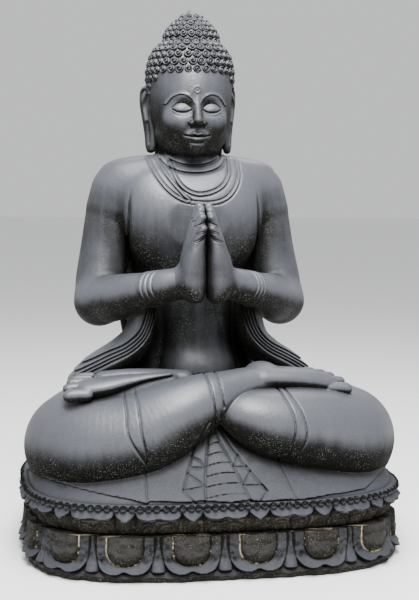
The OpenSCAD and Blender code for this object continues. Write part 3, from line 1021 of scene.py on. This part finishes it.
def mouth(clay):
    clay.add(ball((FX, -0.021, 0.904), (0.027, 0.0175, 0.0165)), 0.012)
    for s in (-1, 1):
        upper = [
            (0.0, -0.0378, 0.9095, 0.0042), (0.0065, -0.0382, 0.9114, 0.0047),
            (0.016, -0.0335, 0.9098, 0.0038), (0.0245, -0.0262, 0.9085, 0.0022),
        ]
        clay.add(limb(on_side(s, upper)), 0.002)
        corner = np.array([FX + s * 0.0268, -0.023, 0.9082])
        clay.press(pad(corner, 0.0034, 0.0022), corner - 0.01, corner + 0.01)
    lower = [
        (-0.0195, -0.027, 0.9045, 0.003), (-0.0095, -0.0352, 0.9002, 0.0054),
        (0.0, -0.0372, 0.8992, 0.006), (0.0095, -0.0352, 0.9002, 0.0054),
        (0.0195, -0.027, 0.9045, 0.003),
    ]
    clay.add(limb([(FX + x, y, z, r) for x, y, z, r in lower]), 0.002)
    seam = smooth(
        [(-0.0268, 0.9086), (-0.015, 0.9062), (-0.006, 0.9066), (0.0, 0.9054)]
        + [(0.006, 0.9066), (0.015, 0.9062), (0.0268, 0.9086)],
        5,
    )
    clay.score(line_on_side(1, seam), 0.0013, 0.0044, (-0.07, 0.0))
    clay.score([(FX, 0.9145), (FX, 0.925)], 0.0026, 0.0016, (-0.07, 0.0))
    clay.score(
        smooth([(FX - 0.014, 0.8925), (FX, 0.891), (FX + 0.014, 0.8925)], 4), 0.003, 0.0014,
        (-0.07, 0.0),
    )


KNOT = [
    (1.1125, 0.059),
    (1.12, 0.0615),
    (1.137, 0.0595),
    (1.152, 0.051),
    (1.164, 0.04),
    (1.175, 0.0275),
    (1.186, 0.015),
    (1.1965, 0.005),
]
KNOT_X, KNOT_Y = FX + 0.005, 0.096


def make_topknot():
    clay = Clay((KNOT_X - 0.075, KNOT_Y - 0.075, 1.108), (KNOT_X + 0.075, KNOT_Y + 0.075, 1.2), 0.0015)
    clay.add(loft([(z, KNOT_X, KNOT_Y, a, a, 2.0) for z, a in KNOT]))
    clay.keep(half_space((0, 0, CROWN_Z), (0, 0, -1)))
    return clay.mesh("topknot")


def curl_shape():
    """One snail-shell curl on a disc of radius 1: its points, its faces and how deep each point lies."""
    rings, spokes = 13, 24
    points, deep = [(0, 0, 0.8)], [0.0]
    for i in range(1, rings + 1):
        for j in range(spokes):
            r, t = i / rings, 2 * math.pi * j / spokes
            wave = math.cos(2 * math.pi * r / 0.6 - t)
            if r > 0.62:
                wave = max(wave, math.cos(2 * math.pi * (r - 0.78) / 0.8))
            fade = min(1, r / 0.22)
            dome = 1 - r**6
            z = dome * (0.74 - 0.1 * r) + 0.2 * (wave - 1) * fade * min(1, dome * 2)
            points.append((r * math.cos(t), r * math.sin(t), z - (0.2 if i == rings else 0)))
            deep.append(0.5 - 0.5 * wave * fade if i < rings else 1.0)
    faces = [(0, 1 + j, 1 + (j + 1) % spokes, 1 + (j + 1) % spokes) for j in range(spokes)]
    for i in range(rings - 1):
        for j in range(spokes):
            a, b = 1 + i * spokes + j, 1 + i * spokes + (j + 1) % spokes
            faces.append((a, a + spokes, b + spokes, b))
    return np.array(points), faces, np.array(deep)


def profile_rows(profile, gap, first, last):
    """Heights spaced evenly along a profile of (z, half width)."""
    rows = smooth(profile, 12)
    run = np.concatenate([[0], np.cumsum(np.hypot(*np.diff(rows, axis=0).T))])
    start, end = (np.interp(z, rows[:, 0], run) for z in (first, last))
    count = round((end - start) / gap)
    return [float(np.interp(start + (end - start) * i / count, run, rows[:, 0])) for i in range(count + 1)]


def curls_over(name, profile, middle, squareness, rows, size, height, allowed, seed):
    """Curls set in staggered rows over a lofted cap."""
    rand = np.random.default_rng(seed)
    table = smooth(profile, 12)
    shape, faces, deep = curl_shape()
    points, polys, cuts = [], [], []

    def spot(z, t):
        a, b = np.interp(z, table[:, 0], table[:, 1]), np.interp(z, table[:, 0], table[:, 2])
        r = ((abs(math.cos(t)) / a) ** squareness + (abs(math.sin(t)) / b) ** squareness) ** (-1 / squareness)
        return np.array([middle[0] + r * math.cos(t), middle[1] + r * math.sin(t), z])

    for k, z in enumerate(rows):
        ring = [spot(z, t) for t in np.linspace(0, 2 * math.pi, 60)]
        around = sum(np.linalg.norm(a - b) for a, b in zip(ring, ring[1:]))
        count = max(5, round(around / (2 * size * 0.96)))
        for j in range(count):
            stagger = 0.5 * (k % 2)
            t = -math.pi / 2 + 2 * math.pi * (j + stagger) / count + rand.uniform(-0.01, 0.01)
            if not allowed(z, math.remainder(t + math.pi / 2, 2 * math.pi)):
                continue
            p = spot(z, t)
            e = spot(z, t + 0.02) - p
            f = spot(z + 0.0015, t) - spot(z - 0.0015, t)
            n = np.cross(e, f)
            n /= np.linalg.norm(n)
            e /= np.linalg.norm(e)
            f = np.cross(n, e)
            r = size * rand.uniform(0.94, 1.05) * min(1, 0.55 + 0.45 * around / 0.25)
            turn = rand.uniform(-0.5, 0.5) + (math.pi if t > 0 else 0)
            u = e * math.cos(turn) + f * math.sin(turn)
            v = f * math.cos(turn) - e * math.sin(turn)
            flat = r * (shape[:, :1] * u + shape[:, 1:2] * v)
            polys.append(np.array(faces) + len(points) * len(shape))
            points.append(p + flat + height * rand.uniform(0.9, 1.06) * shape[:, 2:] * n)
            cuts.append(deep)
    points, polys = np.concatenate(points), np.concatenate(polys)
    mesh = bpy.data.meshes.new(name)
    mesh.from_pydata(points.tolist(), [], [tuple(dict.fromkeys(q)) for q in polys.tolist()])
    mesh.polygons.foreach_set("use_smooth", np.ones(len(mesh.polygons), bool))
    obj = bpy.data.objects.new(name, mesh)
    bpy.context.collection.objects.link(obj)
    cuts = np.concatenate(cuts)
    # painted shade over each curl, darkest in its grooves
    note(obj, "cut", 0.15 + 0.75 * cuts)
    note(obj, "hollow", 0.25 + 0.35 * cuts)
    return obj


def beyond_hairline(z, t):
    """Whether a curl may grow at this height and turn from the front, clear of the face and ears."""
    t = abs(t)
    if z > HAIRLINE_Z:
        return True
    if z > 1.018:
        return t > math.radians(52 + 20 * (HAIRLINE_Z - z) / 0.022)
    if z > 0.99:
        return t > math.radians(78)
    return t > math.radians(112)


def make_hair():
    rows = profile_rows([(z, a) for z, a, _ in SCALP], 0.0168, 0.892, 1.112)
    hair = curls_over("hair_curls", SCALP, (FX, HEAD_Y), 2.15, rows, 0.01, 0.01, beyond_hairline, 5)
    knot = [(z, a, a) for z, a in KNOT]
    rows = profile_rows(KNOT, 0.0145, 1.1225, 1.18)
    middle = (KNOT_X, KNOT_Y)
    bud = curls_over("topknot_curls", knot, middle, 2.0, rows, 0.009, 0.008, lambda z, t: True, 9)
    return hair, bud


# ---------------------------------------------------------------- pedestal

PLINTH_A, PLINTH_B, SQUARE = 0.4115, 0.31, 3.3
PETALS = 18
PETAL_AT = -0.012  # where the middle front petal of the upper tier is centred
COLUMNS = 84 * PETALS


def outline():
    """Points round the plinth from the front middle, outward directions, and how far round each is."""
    t = np.linspace(-math.pi / 2, 1.5 * math.pi, 20001)
    wide, deep = np.abs(np.cos(t)) / PLINTH_A, np.abs(np.sin(t)) / PLINTH_B
    r = (wide**SQUARE + deep**SQUARE) ** (-1 / SQUARE)
    x, y = r * np.cos(t), r * np.sin(t)
    run = np.concatenate([[0], np.cumsum(np.hypot(np.diff(x), np.diff(y)))])
    s = np.linspace(0, run[-1], COLUMNS, endpoint=False)
    x, y = np.interp(s, run, x), np.interp(s, run, y)
    nx = np.sign(x) * np.abs(x / PLINTH_A) ** (SQUARE - 1) / PLINTH_A
    ny = np.sign(y) * np.abs(y / PLINTH_B) ** (SQUARE - 1) / PLINTH_B
    n = np.stack([nx, ny], 1)
    n /= np.linalg.norm(n, axis=1)[:, None]
    return np.stack([x, y], 1), n, s, run[-1]


def spread(a, cells):
    """Box blur of a grid that wraps round its second axis."""
    out = a.copy()
    for _ in range(2):
        total = sum(np.roll(out, k, 1) for k in range(-cells, cells + 1)) / (2 * cells + 1)
        padded = np.concatenate([total[:1]] * cells + [total] + [total[-1:]] * cells)
        out = sum(padded[k : k + len(total)] for k in range(2 * cells + 1)) / (2 * cells + 1)
    return out


def ring_mesh(name, z, d):
    """Closed mesh round the pedestal from grids of heights and outward offsets, from its top row down."""
    p, n, _, _ = outline()
    xy = p[None] + n[None] * d[..., None]
    grid = np.concatenate([xy, z[..., None]], 2)
    rows, cols = z.shape
    index = np.arange(rows * cols).reshape(rows, cols)
    a, b = index[:-1], index[1:]
    faces = np.stack([a, b, np.roll(b, -1, 1), np.roll(a, -1, 1)], -1).reshape(-1, 4)
    obj = surface(name, grid.reshape(-1, 3), faces)
    normals = normals_of(obj).reshape(rows, cols, 3)
    # cavity notes, which the material paints as shade in the recesses
    for key, cells, reach in (("cut", 3, 0.0035), ("hollow", 9, 0.01)):
        hollow = -np.sum(normals * (grid - spread(grid, cells)), 2) / reach
        note(obj, key, np.clip(hollow * 1.6, -1, 1).ravel())
    # flat caps
    bm = bmesh.new()
    bm.from_mesh(obj.data)
    bm.verts.ensure_lookup_table()
    bm.faces.new([bm.verts[i] for i in index[0]])
    bm.faces.new([bm.verts[i] for i in index[-1][::-1]])
    bm.to_mesh(obj.data)
    bm.free()
    return obj


def petal_grid(shift):
    """For each column, how far it lies from its petal's middle, and that petal's width."""
    _, _, s, whole = outline()
    pitch = whole / PETALS
    q = (s - PETAL_AT) / pitch + shift
    return (q - np.round(q)) * pitch, pitch


def rough(seed, shape, cells, amount):
    """Smooth random unevenness over a grid that wraps round its second axis."""
    rand = np.random.default_rng(seed)
    out = spread(rand.standard_normal(shape), cells)
    return amount * out / out.std()


def make_plinth():
    """Lower tier: petals turned down, with a border, a lobe and a wedge between each two."""
    p, pitch = petal_grid(0.5)
    rows = 66
    z = np.linspace(SEAT_Z, 0.0, rows)[:, None] + 0 * p[None]
    p = p[None] + 0 * z
    base = np.interp(
        z,
        [0.0, 0.004, 0.012, 0.018, 0.023, 0.045, 0.06, 0.08, 0.0925],
        [-0.015, -0.0065, -0.004, -0.007, -0.015, -0.0175, -0.017, -0.0172, -0.019],
    )
    side = pitch / 2 - 0.009
    corner = 0.034
    across = np.linspace(0, side, 26)
    tip = 0.0205 + 0.0045 * bell(across, 0.0085)
    tip += corner * (1 - np.sqrt(np.clip(1 - (np.maximum(across - side + corner, 0) / corner) ** 2, 0, 1)))
    edge = np.concatenate([np.stack([across, tip], 1), [[side, 0.12]]])
    inside = (np.abs(p) < side) & (z > np.interp(np.abs(p), across, tip))
    deep = gap_to(edge, np.abs(p), z) * np.where(inside, 1, -1)
    flare = 0.0135 * ease((0.044 - z) / 0.022)
    rim = 0.0022 * bell(deep - 0.0025, 0.0022)
    border = ease(deep / 0.0016 + 0.5) * (0.005 + flare + rim)
    # swelling lobe inside the border
    half, low, turn = 0.0375, 0.035, 0.031
    u = np.maximum(np.abs(p) - half + turn, 0)
    v = np.maximum(low + turn - z, 0)
    lobe_in = turn - np.hypot(u, v)
    swell = np.clip(lobe_in / 0.02, 0, 1)
    lobe = (0.0085 + 0.0035 * ease((0.075 - z) / 0.03)) * np.sqrt(1 - (1 - swell) ** 2) * (lobe_in > 0)
    groove_at = lobe_in + 0.0008
    groove = 0.003 * bell(groove_at, 0.0015) * inside
    level = np.where(lobe_in > -0.001, 0.005, border)
    mix = ease(0.5 + lobe_in / 0.004)
    relief = border * (1 - mix) + level * mix + lobe - groove
    w = pitch / 2 - np.abs(p)
    half_wedge = 0.003 + 0.0105 * ease((0.08 - z) / 0.055)
    wedge = ease((half_wedge - w) / 0.0024 + 0.5) * ease((z - 0.0205) / 0.003)
    wedge = wedge * (0.0065 + 0.011 * ease((0.05 - z) / 0.028)) * (1 - 0.35 * (w / half_wedge) ** 2)
    wedge = np.where(inside, 0, wedge)
    d = base + np.where(inside, relief, border) + wedge
    d += rough(3, z.shape, 2, 0.00035) + rough(4, z.shape, 9, 0.0006)
    d += ease((0.02 - z) / 0.004) * rough(5, z.shape, 3, 0.0011)
    d[-1] -= 0.002
    obj = ring_mesh("plinth", z, d)
    note(obj, "lime", (bell(groove_at, 0.0022) * inside).ravel())
    # brown painted shade and soil on the lobes, along the foot and under the seat's overhang
    shade_and_grime = 0.7 * ease(lobe_in / 0.004 + 0.5)
    shade_and_grime += 0.65 * ease((0.0215 - z) / 0.003) + 0.6 * ease((z - 0.07) / 0.02)
    note(obj, "soil", np.clip(shade_and_grime, 0, 0.8).ravel())
    return obj


def make_seat():
    """Upper tier: scalloped lips over carved undersides."""
    p, pitch = petal_grid(0.0)
    small, _ = petal_grid(0.5)
    big_half, small_half = 0.0455, 0.0205
    # outline of the lips, from 0 in the notches to 1 at the petals' rims
    double = 1 - 0.26 * bell(p, 0.009)
    big = double * np.sqrt(np.clip(1 - (np.abs(p) / big_half) ** 5, 0, 1))
    little = np.clip(1 - (np.abs(small) / small_half) ** 1.4, 0, 1) ** 0.8
    lip = np.maximum(big, little * 1.12)
    # rows down each column: bead seat, groove, lip, rim and underside
    # each has its count of steps, its height and offset in the notches, and the same at the rims
    steps = [
        (4, 0.159, -0.016, 0.159, -0.016),
        (4, 0.159, -0.006, 0.159, -0.006),
        (5, 0.1575, -0.003, 0.1575, -0.003),
        (4, 0.152, -0.0035, 0.152, -0.0035),
        (4, 0.149, -0.006, 0.149, -0.006),
        (4, 0.1475, -0.0085, 0.1475, -0.0085),
        (16, 0.1465, -0.007, 0.1465, -0.006),
        (5, 0.143, -0.0065, 0.132, 0.0046),
        (5, 0.14, -0.0085, 0.1285, 0.0044),
        (8, 0.137, -0.013, 0.1275, 0.003),
        (9, 0.124, -0.019, 0.124, -0.01),
        (8, 0.109, -0.024, 0.109, -0.02),
        (1, 0.0925, -0.034, 0.0925, -0.034),
    ]
    z_rows, d_rows = [], []
    for (count, z0, d0, z1, d1), (_, a0, e0, a1, e1) in zip(steps, steps[1:] + [steps[-1]]):
        here_z, here_d = z0 + (z1 - z0) * lip, d0 + (d1 - d0) * lip
        next_z, next_d = a0 + (a1 - a0) * lip, e0 + (e1 - e0) * lip
        for i in range(count):
            z_rows.append(here_z + (next_z - here_z) * i / count)
            d_rows.append(here_d + (next_d - here_d) * i / count)
    z, d = np.array(z_rows), np.array(d_rows)
    for grid in (z, d):
        grid[1:-1] = (grid[:-2] + 2 * grid[1:-1] + grid[2:]) / 4
    # the lips swell between their middle line and their edges
    q, r = p[None] + 0 * z, small[None] + 0 * z
    top = ease((0.145 - z) / 0.003) * ease((z - 0.129) / 0.002) * (np.arange(len(z)) < 42)[:, None]
    wave = np.sin(np.clip(np.abs(q) / big_half, 0, 1) * 2 * math.pi) ** 2
    d += top * 0.0016 * wave * (np.abs(q) < big_half)
    # scrolled backs of the petals
    low = ease((0.1265 - z) / 0.004) * ease((z - 0.0935) / 0.004)
    lobes = np.hypot(np.abs(q) - 0.0195, (z - 0.099) * 0.95)
    relief = 0.005 * ease((0.0225 - lobes) / 0.003) - 0.0042 * bell(lobes - 0.0155, 0.0017)
    relief += 0.0024 * bell(lobes - 0.0085, 0.0024) - 0.004 * bell(np.abs(q), 0.0018)
    rib = ease((0.011 - np.abs(r)) / 0.004) * 0.0034 - 0.0022 * bell(np.abs(r), 0.0014)
    d += low * (relief + rib)
    d += rough(13, z.shape, 2, 0.0003) + rough(14, z.shape, 9, 0.0005) + low * rough(
        15, z.shape, 2, 0.0006,
    )
    obj = ring_mesh("seat", z, d)
    # brown painted shade and soil under the lips
    note(obj, "soil", (ease((0.13 - z) / 0.004) * (np.arange(len(z)) > 38)[:, None]).ravel())
    note(obj, "lime", 0.16 * low.ravel())
    return obj


def make_beads():
    """A row of round beads below the hem, none quite alike."""
    rand = np.random.default_rng(21)
    p, n, _, _ = outline()
    count = 146
    ball_mesh = bmesh.new()
    bmesh.ops.create_icosphere(ball_mesh, subdivisions=3, radius=1.0)
    unit = np.array([v.co[:] for v in ball_mesh.verts])
    tris = np.array([[v.index for v in f.verts] for f in ball_mesh.faces])
    ball_mesh.free()
    unit = np.sign(unit) * np.abs(unit) ** 0.82
    points, faces, cuts = [], [], []
    for i in range(count):
        k = int(round((i + rand.uniform(-0.08, 0.08)) * COLUMNS / count)) % COLUMNS
        out = np.array([n[k, 0], n[k, 1], 0])
        along = np.array([-n[k, 1], n[k, 0], 0])
        size = rand.uniform(0.92, 1.06, 3) * (0.0068, 0.0066, 0.0062)
        centre = np.array([p[k, 0], p[k, 1], 0.1535 + rand.uniform(-0.0005, 0.0005)]) - out * 0.0035
        flat = size[0] * unit[:, :1] * along + size[1] * unit[:, 1:2] * out
        points.append(centre + flat + unit[:, 2:] * [0, 0, size[2]])
        faces.append(tris + i * len(unit))
        # painted shade on each bead, darkest where it faces in and down
        cuts.append(0.6 * (1 - np.clip(1.3 * unit[:, 1] + 0.5 * unit[:, 2], 0, 1)))
    obj = surface("beads", np.concatenate(points), np.concatenate(faces))
    note(obj, "cut", np.concatenate(cuts))
    note(obj, "hollow", np.concatenate(cuts))
    return obj


# ---------------------------------------------------------------- stage


def make_world():
    world = bpy.data.worlds.new("studio")
    bpy.context.scene.world = world
    world.use_nodes = True
    background = world.node_tree.nodes["Background"]
    background.inputs["Color"].default_value = (0.97, 0.98, 1.0, 1)
    background.inputs["Strength"].default_value = 0.76


def make_floor():
    half = 30
    mesh = bpy.data.meshes.new("floor")
    corners = [(-half, -half, 0), (half, -half, 0), (half, half, 0), (-half, half, 0)]
    mesh.from_pydata(corners, [], [(0, 1, 2, 3)])
    floor = bpy.data.objects.new("floor", mesh)
    bpy.context.collection.objects.link(floor)
    paint = bpy.data.materials.new("floor_paint")
    paint.use_nodes = True
    shader = paint.node_tree.nodes["Principled BSDF"]
    shader.inputs["Base Color"].default_value = (0.9, 0.9, 0.9, 1)
    shader.inputs["Roughness"].default_value = 0.9
    mesh.materials.append(paint)


def look(place, aim):
    """The turn that points a lamp or camera from a place at an aim."""
    return (Vector(aim) - Vector(place)).to_track_quat("-Z", "Y").to_euler()


def make_lamps():
    lamps = [
        # name, place, aim, width of the disc, watts
        ("top", (-0.2, -0.9, 3.1), (-0.03, -0.05, 0.5), 2.2, 165.0),
        ("front", (-0.2, -2.3, 2.7), (0.0, -0.1, 0.4), 1.3, 165.0),
        ("back", (0.6, 1.6, 3.0), (0, 0, 0.5), 2.0, 45.0),
    ]
    for name, place, aim, size, power in lamps:
        data = bpy.data.lights.new(name, "AREA")
        data.shape = "DISK"
        data.size = size
        data.energy = power
        lamp = bpy.data.objects.new(name, data)
        lamp.location = place
        lamp.rotation_euler = look(place, aim)
        bpy.context.collection.objects.link(lamp)


def make_camera():
    """The photographer's place: near, a little to the figure's right, and level with the chest."""
    place, aim, roll = (-0.485, -2.751, 0.795), (0, 0, 0.6), math.radians(0.5)
    data = bpy.data.cameras.new("camera")
    data.lens = 75.3
    data.sensor_width = 36
    data.shift_x = 0.0025
    data.shift_y = -0.0415
    camera = bpy.data.objects.new("camera", data)
    bpy.context.collection.objects.link(camera)
    camera.location = place
    camera.rotation_euler = (look(place, aim).to_matrix() @ Matrix.Rotation(roll, 3, "Z")).to_euler()
    bpy.context.scene.camera = camera


# ---------------------------------------------------------------- materials


class Nodes:
    """Shorthand for building a material's nodes."""

    def __init__(self, name):
        self.material = bpy.data.materials.new(name)
        self.material.use_nodes = True
        self.tree = self.material.node_tree
        self.shader = self.tree.nodes["Principled BSDF"]

    def feed(self, socket, value):
        """Links an input to another node's output, or sets it to a constant."""
        if isinstance(value, bpy.types.NodeSocket):
            self.tree.links.new(value, socket)
        else:
            socket.default_value = value

    def node(self, kind, **inputs):
        """A new node. Spaces in the names of its inputs are written as underscores."""
        out = self.tree.nodes.new(kind)
        for name, value in inputs.items():
            self.feed(out.inputs[name.replace("_", " ")], value)
        return out

    def math(self, how, a, b, clamp=False):
        out = self.tree.nodes.new("ShaderNodeMath")
        out.operation = how
        out.use_clamp = clamp
        self.feed(out.inputs[0], a)
        self.feed(out.inputs[1], b)
        return out.outputs[0]

    def plus(self, a, b):
        return self.math("ADD", a, b)

    def minus(self, a, b):
        return self.math("SUBTRACT", a, b)

    def times(self, a, b):
        return self.math("MULTIPLY", a, b)

    def larger(self, a, b):
        return self.math("MAXIMUM", a, b)

    def step(self, value, low, high):
        """0 below low and 1 above high, smoothly."""
        out = self.node("ShaderNodeMapRange", Value=value, From_Min=low, From_Max=high)
        out.interpolation_type = "SMOOTHSTEP"
        return out.outputs[0]

    def place(self):
        return self.node("ShaderNodeTexCoord").outputs["Object"]

    def noise(self, place, scale, detail=3.0, roughness=0.55):
        out = self.node("ShaderNodeTexNoise", Vector=place, Scale=scale, Detail=detail, Roughness=roughness)
        return out.outputs["Fac"]

    def mix(self, amount, a, b):
        """From colour a to colour b."""
        out = self.tree.nodes.new("ShaderNodeMix")
        out.data_type = "RGBA"
        self.feed(out.inputs[0], amount)
        for socket, colour in ((out.inputs[6], a), (out.inputs[7], b)):
            self.feed(socket, colour + (1.0,) if isinstance(colour, tuple) else colour)
        return out.outputs[2]

    def noted(self, name):
        """A number that was noted for each vertex."""
        out = self.tree.nodes.new("ShaderNodeAttribute")
        out.attribute_name = name
        return out.outputs["Fac"]

    def finish(self, colour, roughness, height, strength, distance):
        """Links the shader's colour, roughness and bump."""
        self.feed(self.shader.inputs["Base Color"], colour)
        self.feed(self.shader.inputs["Roughness"], roughness)
        bump = self.node("ShaderNodeBump", Height=height, Strength=strength, Distance=distance)
        self.feed(self.shader.inputs["Normal"], bump.outputs["Normal"])
        return self.material


def river_stone():
    """Dark basalt with painted light: pale where open to the sky and facing up, painted shade and speckles
    below and in the cuts, with brown painted shade and soil, and lime.
    """
    n = Nodes("river_stone")
    place = n.place()
    cut, hollow, sky = n.noted("cut"), n.noted("hollow"), n.noted("sky")
    lime, soil = n.noted("lime"), n.noted("soil")
    broad = n.noise(place, 7.0, 4.0)
    blotch = n.noise(place, 38.0, 5.0, 0.62)
    grain = n.noise(place, 420.0, 3.0, 0.6)
    crystal = n.noise(place, 900.0, 2.0)
    drawn_out = n.node("ShaderNodeMapping", Vector=place, Scale=(1.0, 1.0, 0.1)).outputs["Vector"]
    streaky = n.noise(drawn_out, 46.0, 4.0, 0.6)
    # painted light and shade with random tone: lightest where open to the sky and facing up, darkest in cuts
    # and under the brown shade and soil
    painted_light_and_tone = sky
    for pattern, weight in ((broad, 0.26), (blotch, 0.26), (streaky, 0.4)):
        painted_light_and_tone = n.plus(painted_light_and_tone, n.times(n.minus(pattern, 0.5), weight))
    painted_light_and_tone = n.minus(painted_light_and_tone, n.times(n.larger(cut, 0.0), 0.3))
    painted_light_and_tone = n.minus(painted_light_and_tone, n.times(soil, 0.34))
    painted_light_and_tone = n.step(painted_light_and_tone, 0.02, 1.05)
    # the pedestal and the skirt's foot stay dull, and get less of the painted light
    height = n.node("ShaderNodeSeparateXYZ", Vector=place).outputs["Z"]
    dull = n.minus(1.0, n.step(height, 0.19, 0.3))
    painted_light_and_tone = n.times(painted_light_and_tone, n.minus(1.0, n.times(dull, 0.42)))
    # painted light: near black where painted shade falls, pale blue-grey where painted light is strongest
    colour = n.mix(painted_light_and_tone, (0.0045, 0.0046, 0.0042), (0.068, 0.072, 0.085))
    pits = n.times(n.step(grain, 0.42, 0.6), 0.4)
    colour = n.mix(pits, colour, n.mix(0.6, colour, (0.003, 0.003, 0.003)))
    # brown painted shade and soil under the petals
    brown = n.mix(n.step(grain, 0.35, 0.7), (0.008, 0.0068, 0.0052), (0.031, 0.028, 0.022))
    uneven = n.plus(n.times(n.step(broad, 0.3, 0.6), 0.3), 0.7)
    colour = n.mix(n.times(soil, uneven), colour, brown)
    # pale flecks, mostly where the painted light is low
    flecks = n.step(n.noise(place, 400.0, 2.5, 0.7), 0.585, 0.66)
    patch = n.step(n.noise(place, 24.0, 4.0, 0.65), 0.36, 0.62)
    painted_dark = n.minus(1.0, n.step(painted_light_and_tone, 0.02, 0.55))
    flecks = n.times(flecks, n.plus(n.times(painted_dark, 0.9), 0.04))
    flecks = n.times(flecks, n.plus(n.times(patch, 0.75), 0.25))
    colour = n.mix(n.times(flecks, 0.55), colour, (0.26, 0.26, 0.21))
    # shade in the cuts, and lime where water runs
    shade = n.step(n.larger(cut, n.times(hollow, 0.6)), 0.12, 0.6)
    colour = n.mix(n.times(shade, 0.8), colour, (0.006, 0.0058, 0.0052))
    runs = n.plus(n.times(n.noise(place, 16.0), 0.6), n.times(n.noise(place, 160.0), 0.4))
    wet = n.times(n.times(n.step(cut, 0.1, 0.5), lime), n.step(runs, 0.49, 0.57))
    colour = n.mix(n.times(wet, 0.8), colour, (0.42, 0.36, 0.25))
    roughness = n.plus(n.times(grain, 0.2), n.times(streaky, 0.16))
    roughness = n.plus(roughness, n.times(n.minus(1.0, painted_light_and_tone), 0.16))
    roughness = n.plus(roughness, n.times(n.larger(shade, wet), 0.2))
    roughness = n.plus(roughness, n.times(dull, 0.2))
    sheen = n.times(n.plus(n.times(painted_light_and_tone, 0.62), 0.06), n.minus(1.0, n.times(dull, 0.4)))
    n.feed(n.shader.inputs["Specular IOR Level"], sheen)
    bumps = n.plus(n.times(grain, 0.55), n.times(crystal, 0.25))
    bumps = n.plus(bumps, n.times(n.noise(place, 110.0, 4.0, 0.6), 0.9))
    bumps = n.plus(bumps, n.times(flecks, -0.5))
    return n.finish(colour, n.math("ADD", roughness, 0.19, True), bumps, 0.55, 0.0011)


def joint_material(name, dark, pale, scale, roughness, metal):
    """A mottled material for the mortar, the dowels or their resin, mostly hidden in the joints."""
    n = Nodes(name)
    place = n.place()
    broad, fine = n.noise(place, scale, 4.0, 0.6), n.noise(place, scale * 9, 3.0, 0.6)
    stain = n.step(n.plus(n.times(broad, 0.6), n.times(fine, 0.4)), 0.35, 0.65)
    n.shader.inputs["Metallic"].default_value = metal
    rough_here = n.math("ADD", n.times(fine, 0.3), roughness, True)
    return n.finish(n.mix(stain, dark, pale), rough_here, fine, 0.4, 0.0006)


# ---------------------------------------------------------------- assembly

stone = river_stone()
pieces = [
    (make_torso(), "torso_block"),
    (make_lap(), "lap_block"),
    (make_hands(), "hands_block"),
    (make_head(), "head_block"),
    (make_topknot(), "topknot_block"),
]
hair, bud = make_hair()
pieces += [(hair, None), (bud, None)]
pieces += [(make_plinth(), "plinth_block"), (make_seat(), "seat_block"), (make_beads(), None)]
sky = Sky(Clay.meshed)
for obj, node in pieces:
    sky.on(obj)
    obj.data.materials.append(stone)
    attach(obj, "root")
    if node:
        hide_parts(node)

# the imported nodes' own materials have these words in their names
joints = {
    "mortar": joint_material("lime_mortar", (0.2, 0.185, 0.155), (0.42, 0.4, 0.35), 60.0, 0.7, 0.0),
    "dowel": joint_material("stainless_steel", (0.3, 0.3, 0.31), (0.52, 0.52, 0.53), 40.0, 0.25, 1.0),
    "resin": joint_material("amber_resin", (0.06, 0.03, 0.012), (0.15, 0.085, 0.035), 35.0, 0.15, 0.0),
}
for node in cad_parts.values():
    if node.hide_render:
        continue
    for slot in node.material_slots:
        for word, material in joints.items():
            if slot.material and word in slot.material.name:
                slot.material = material

make_world()
make_floor()
make_lamps()
make_camera()
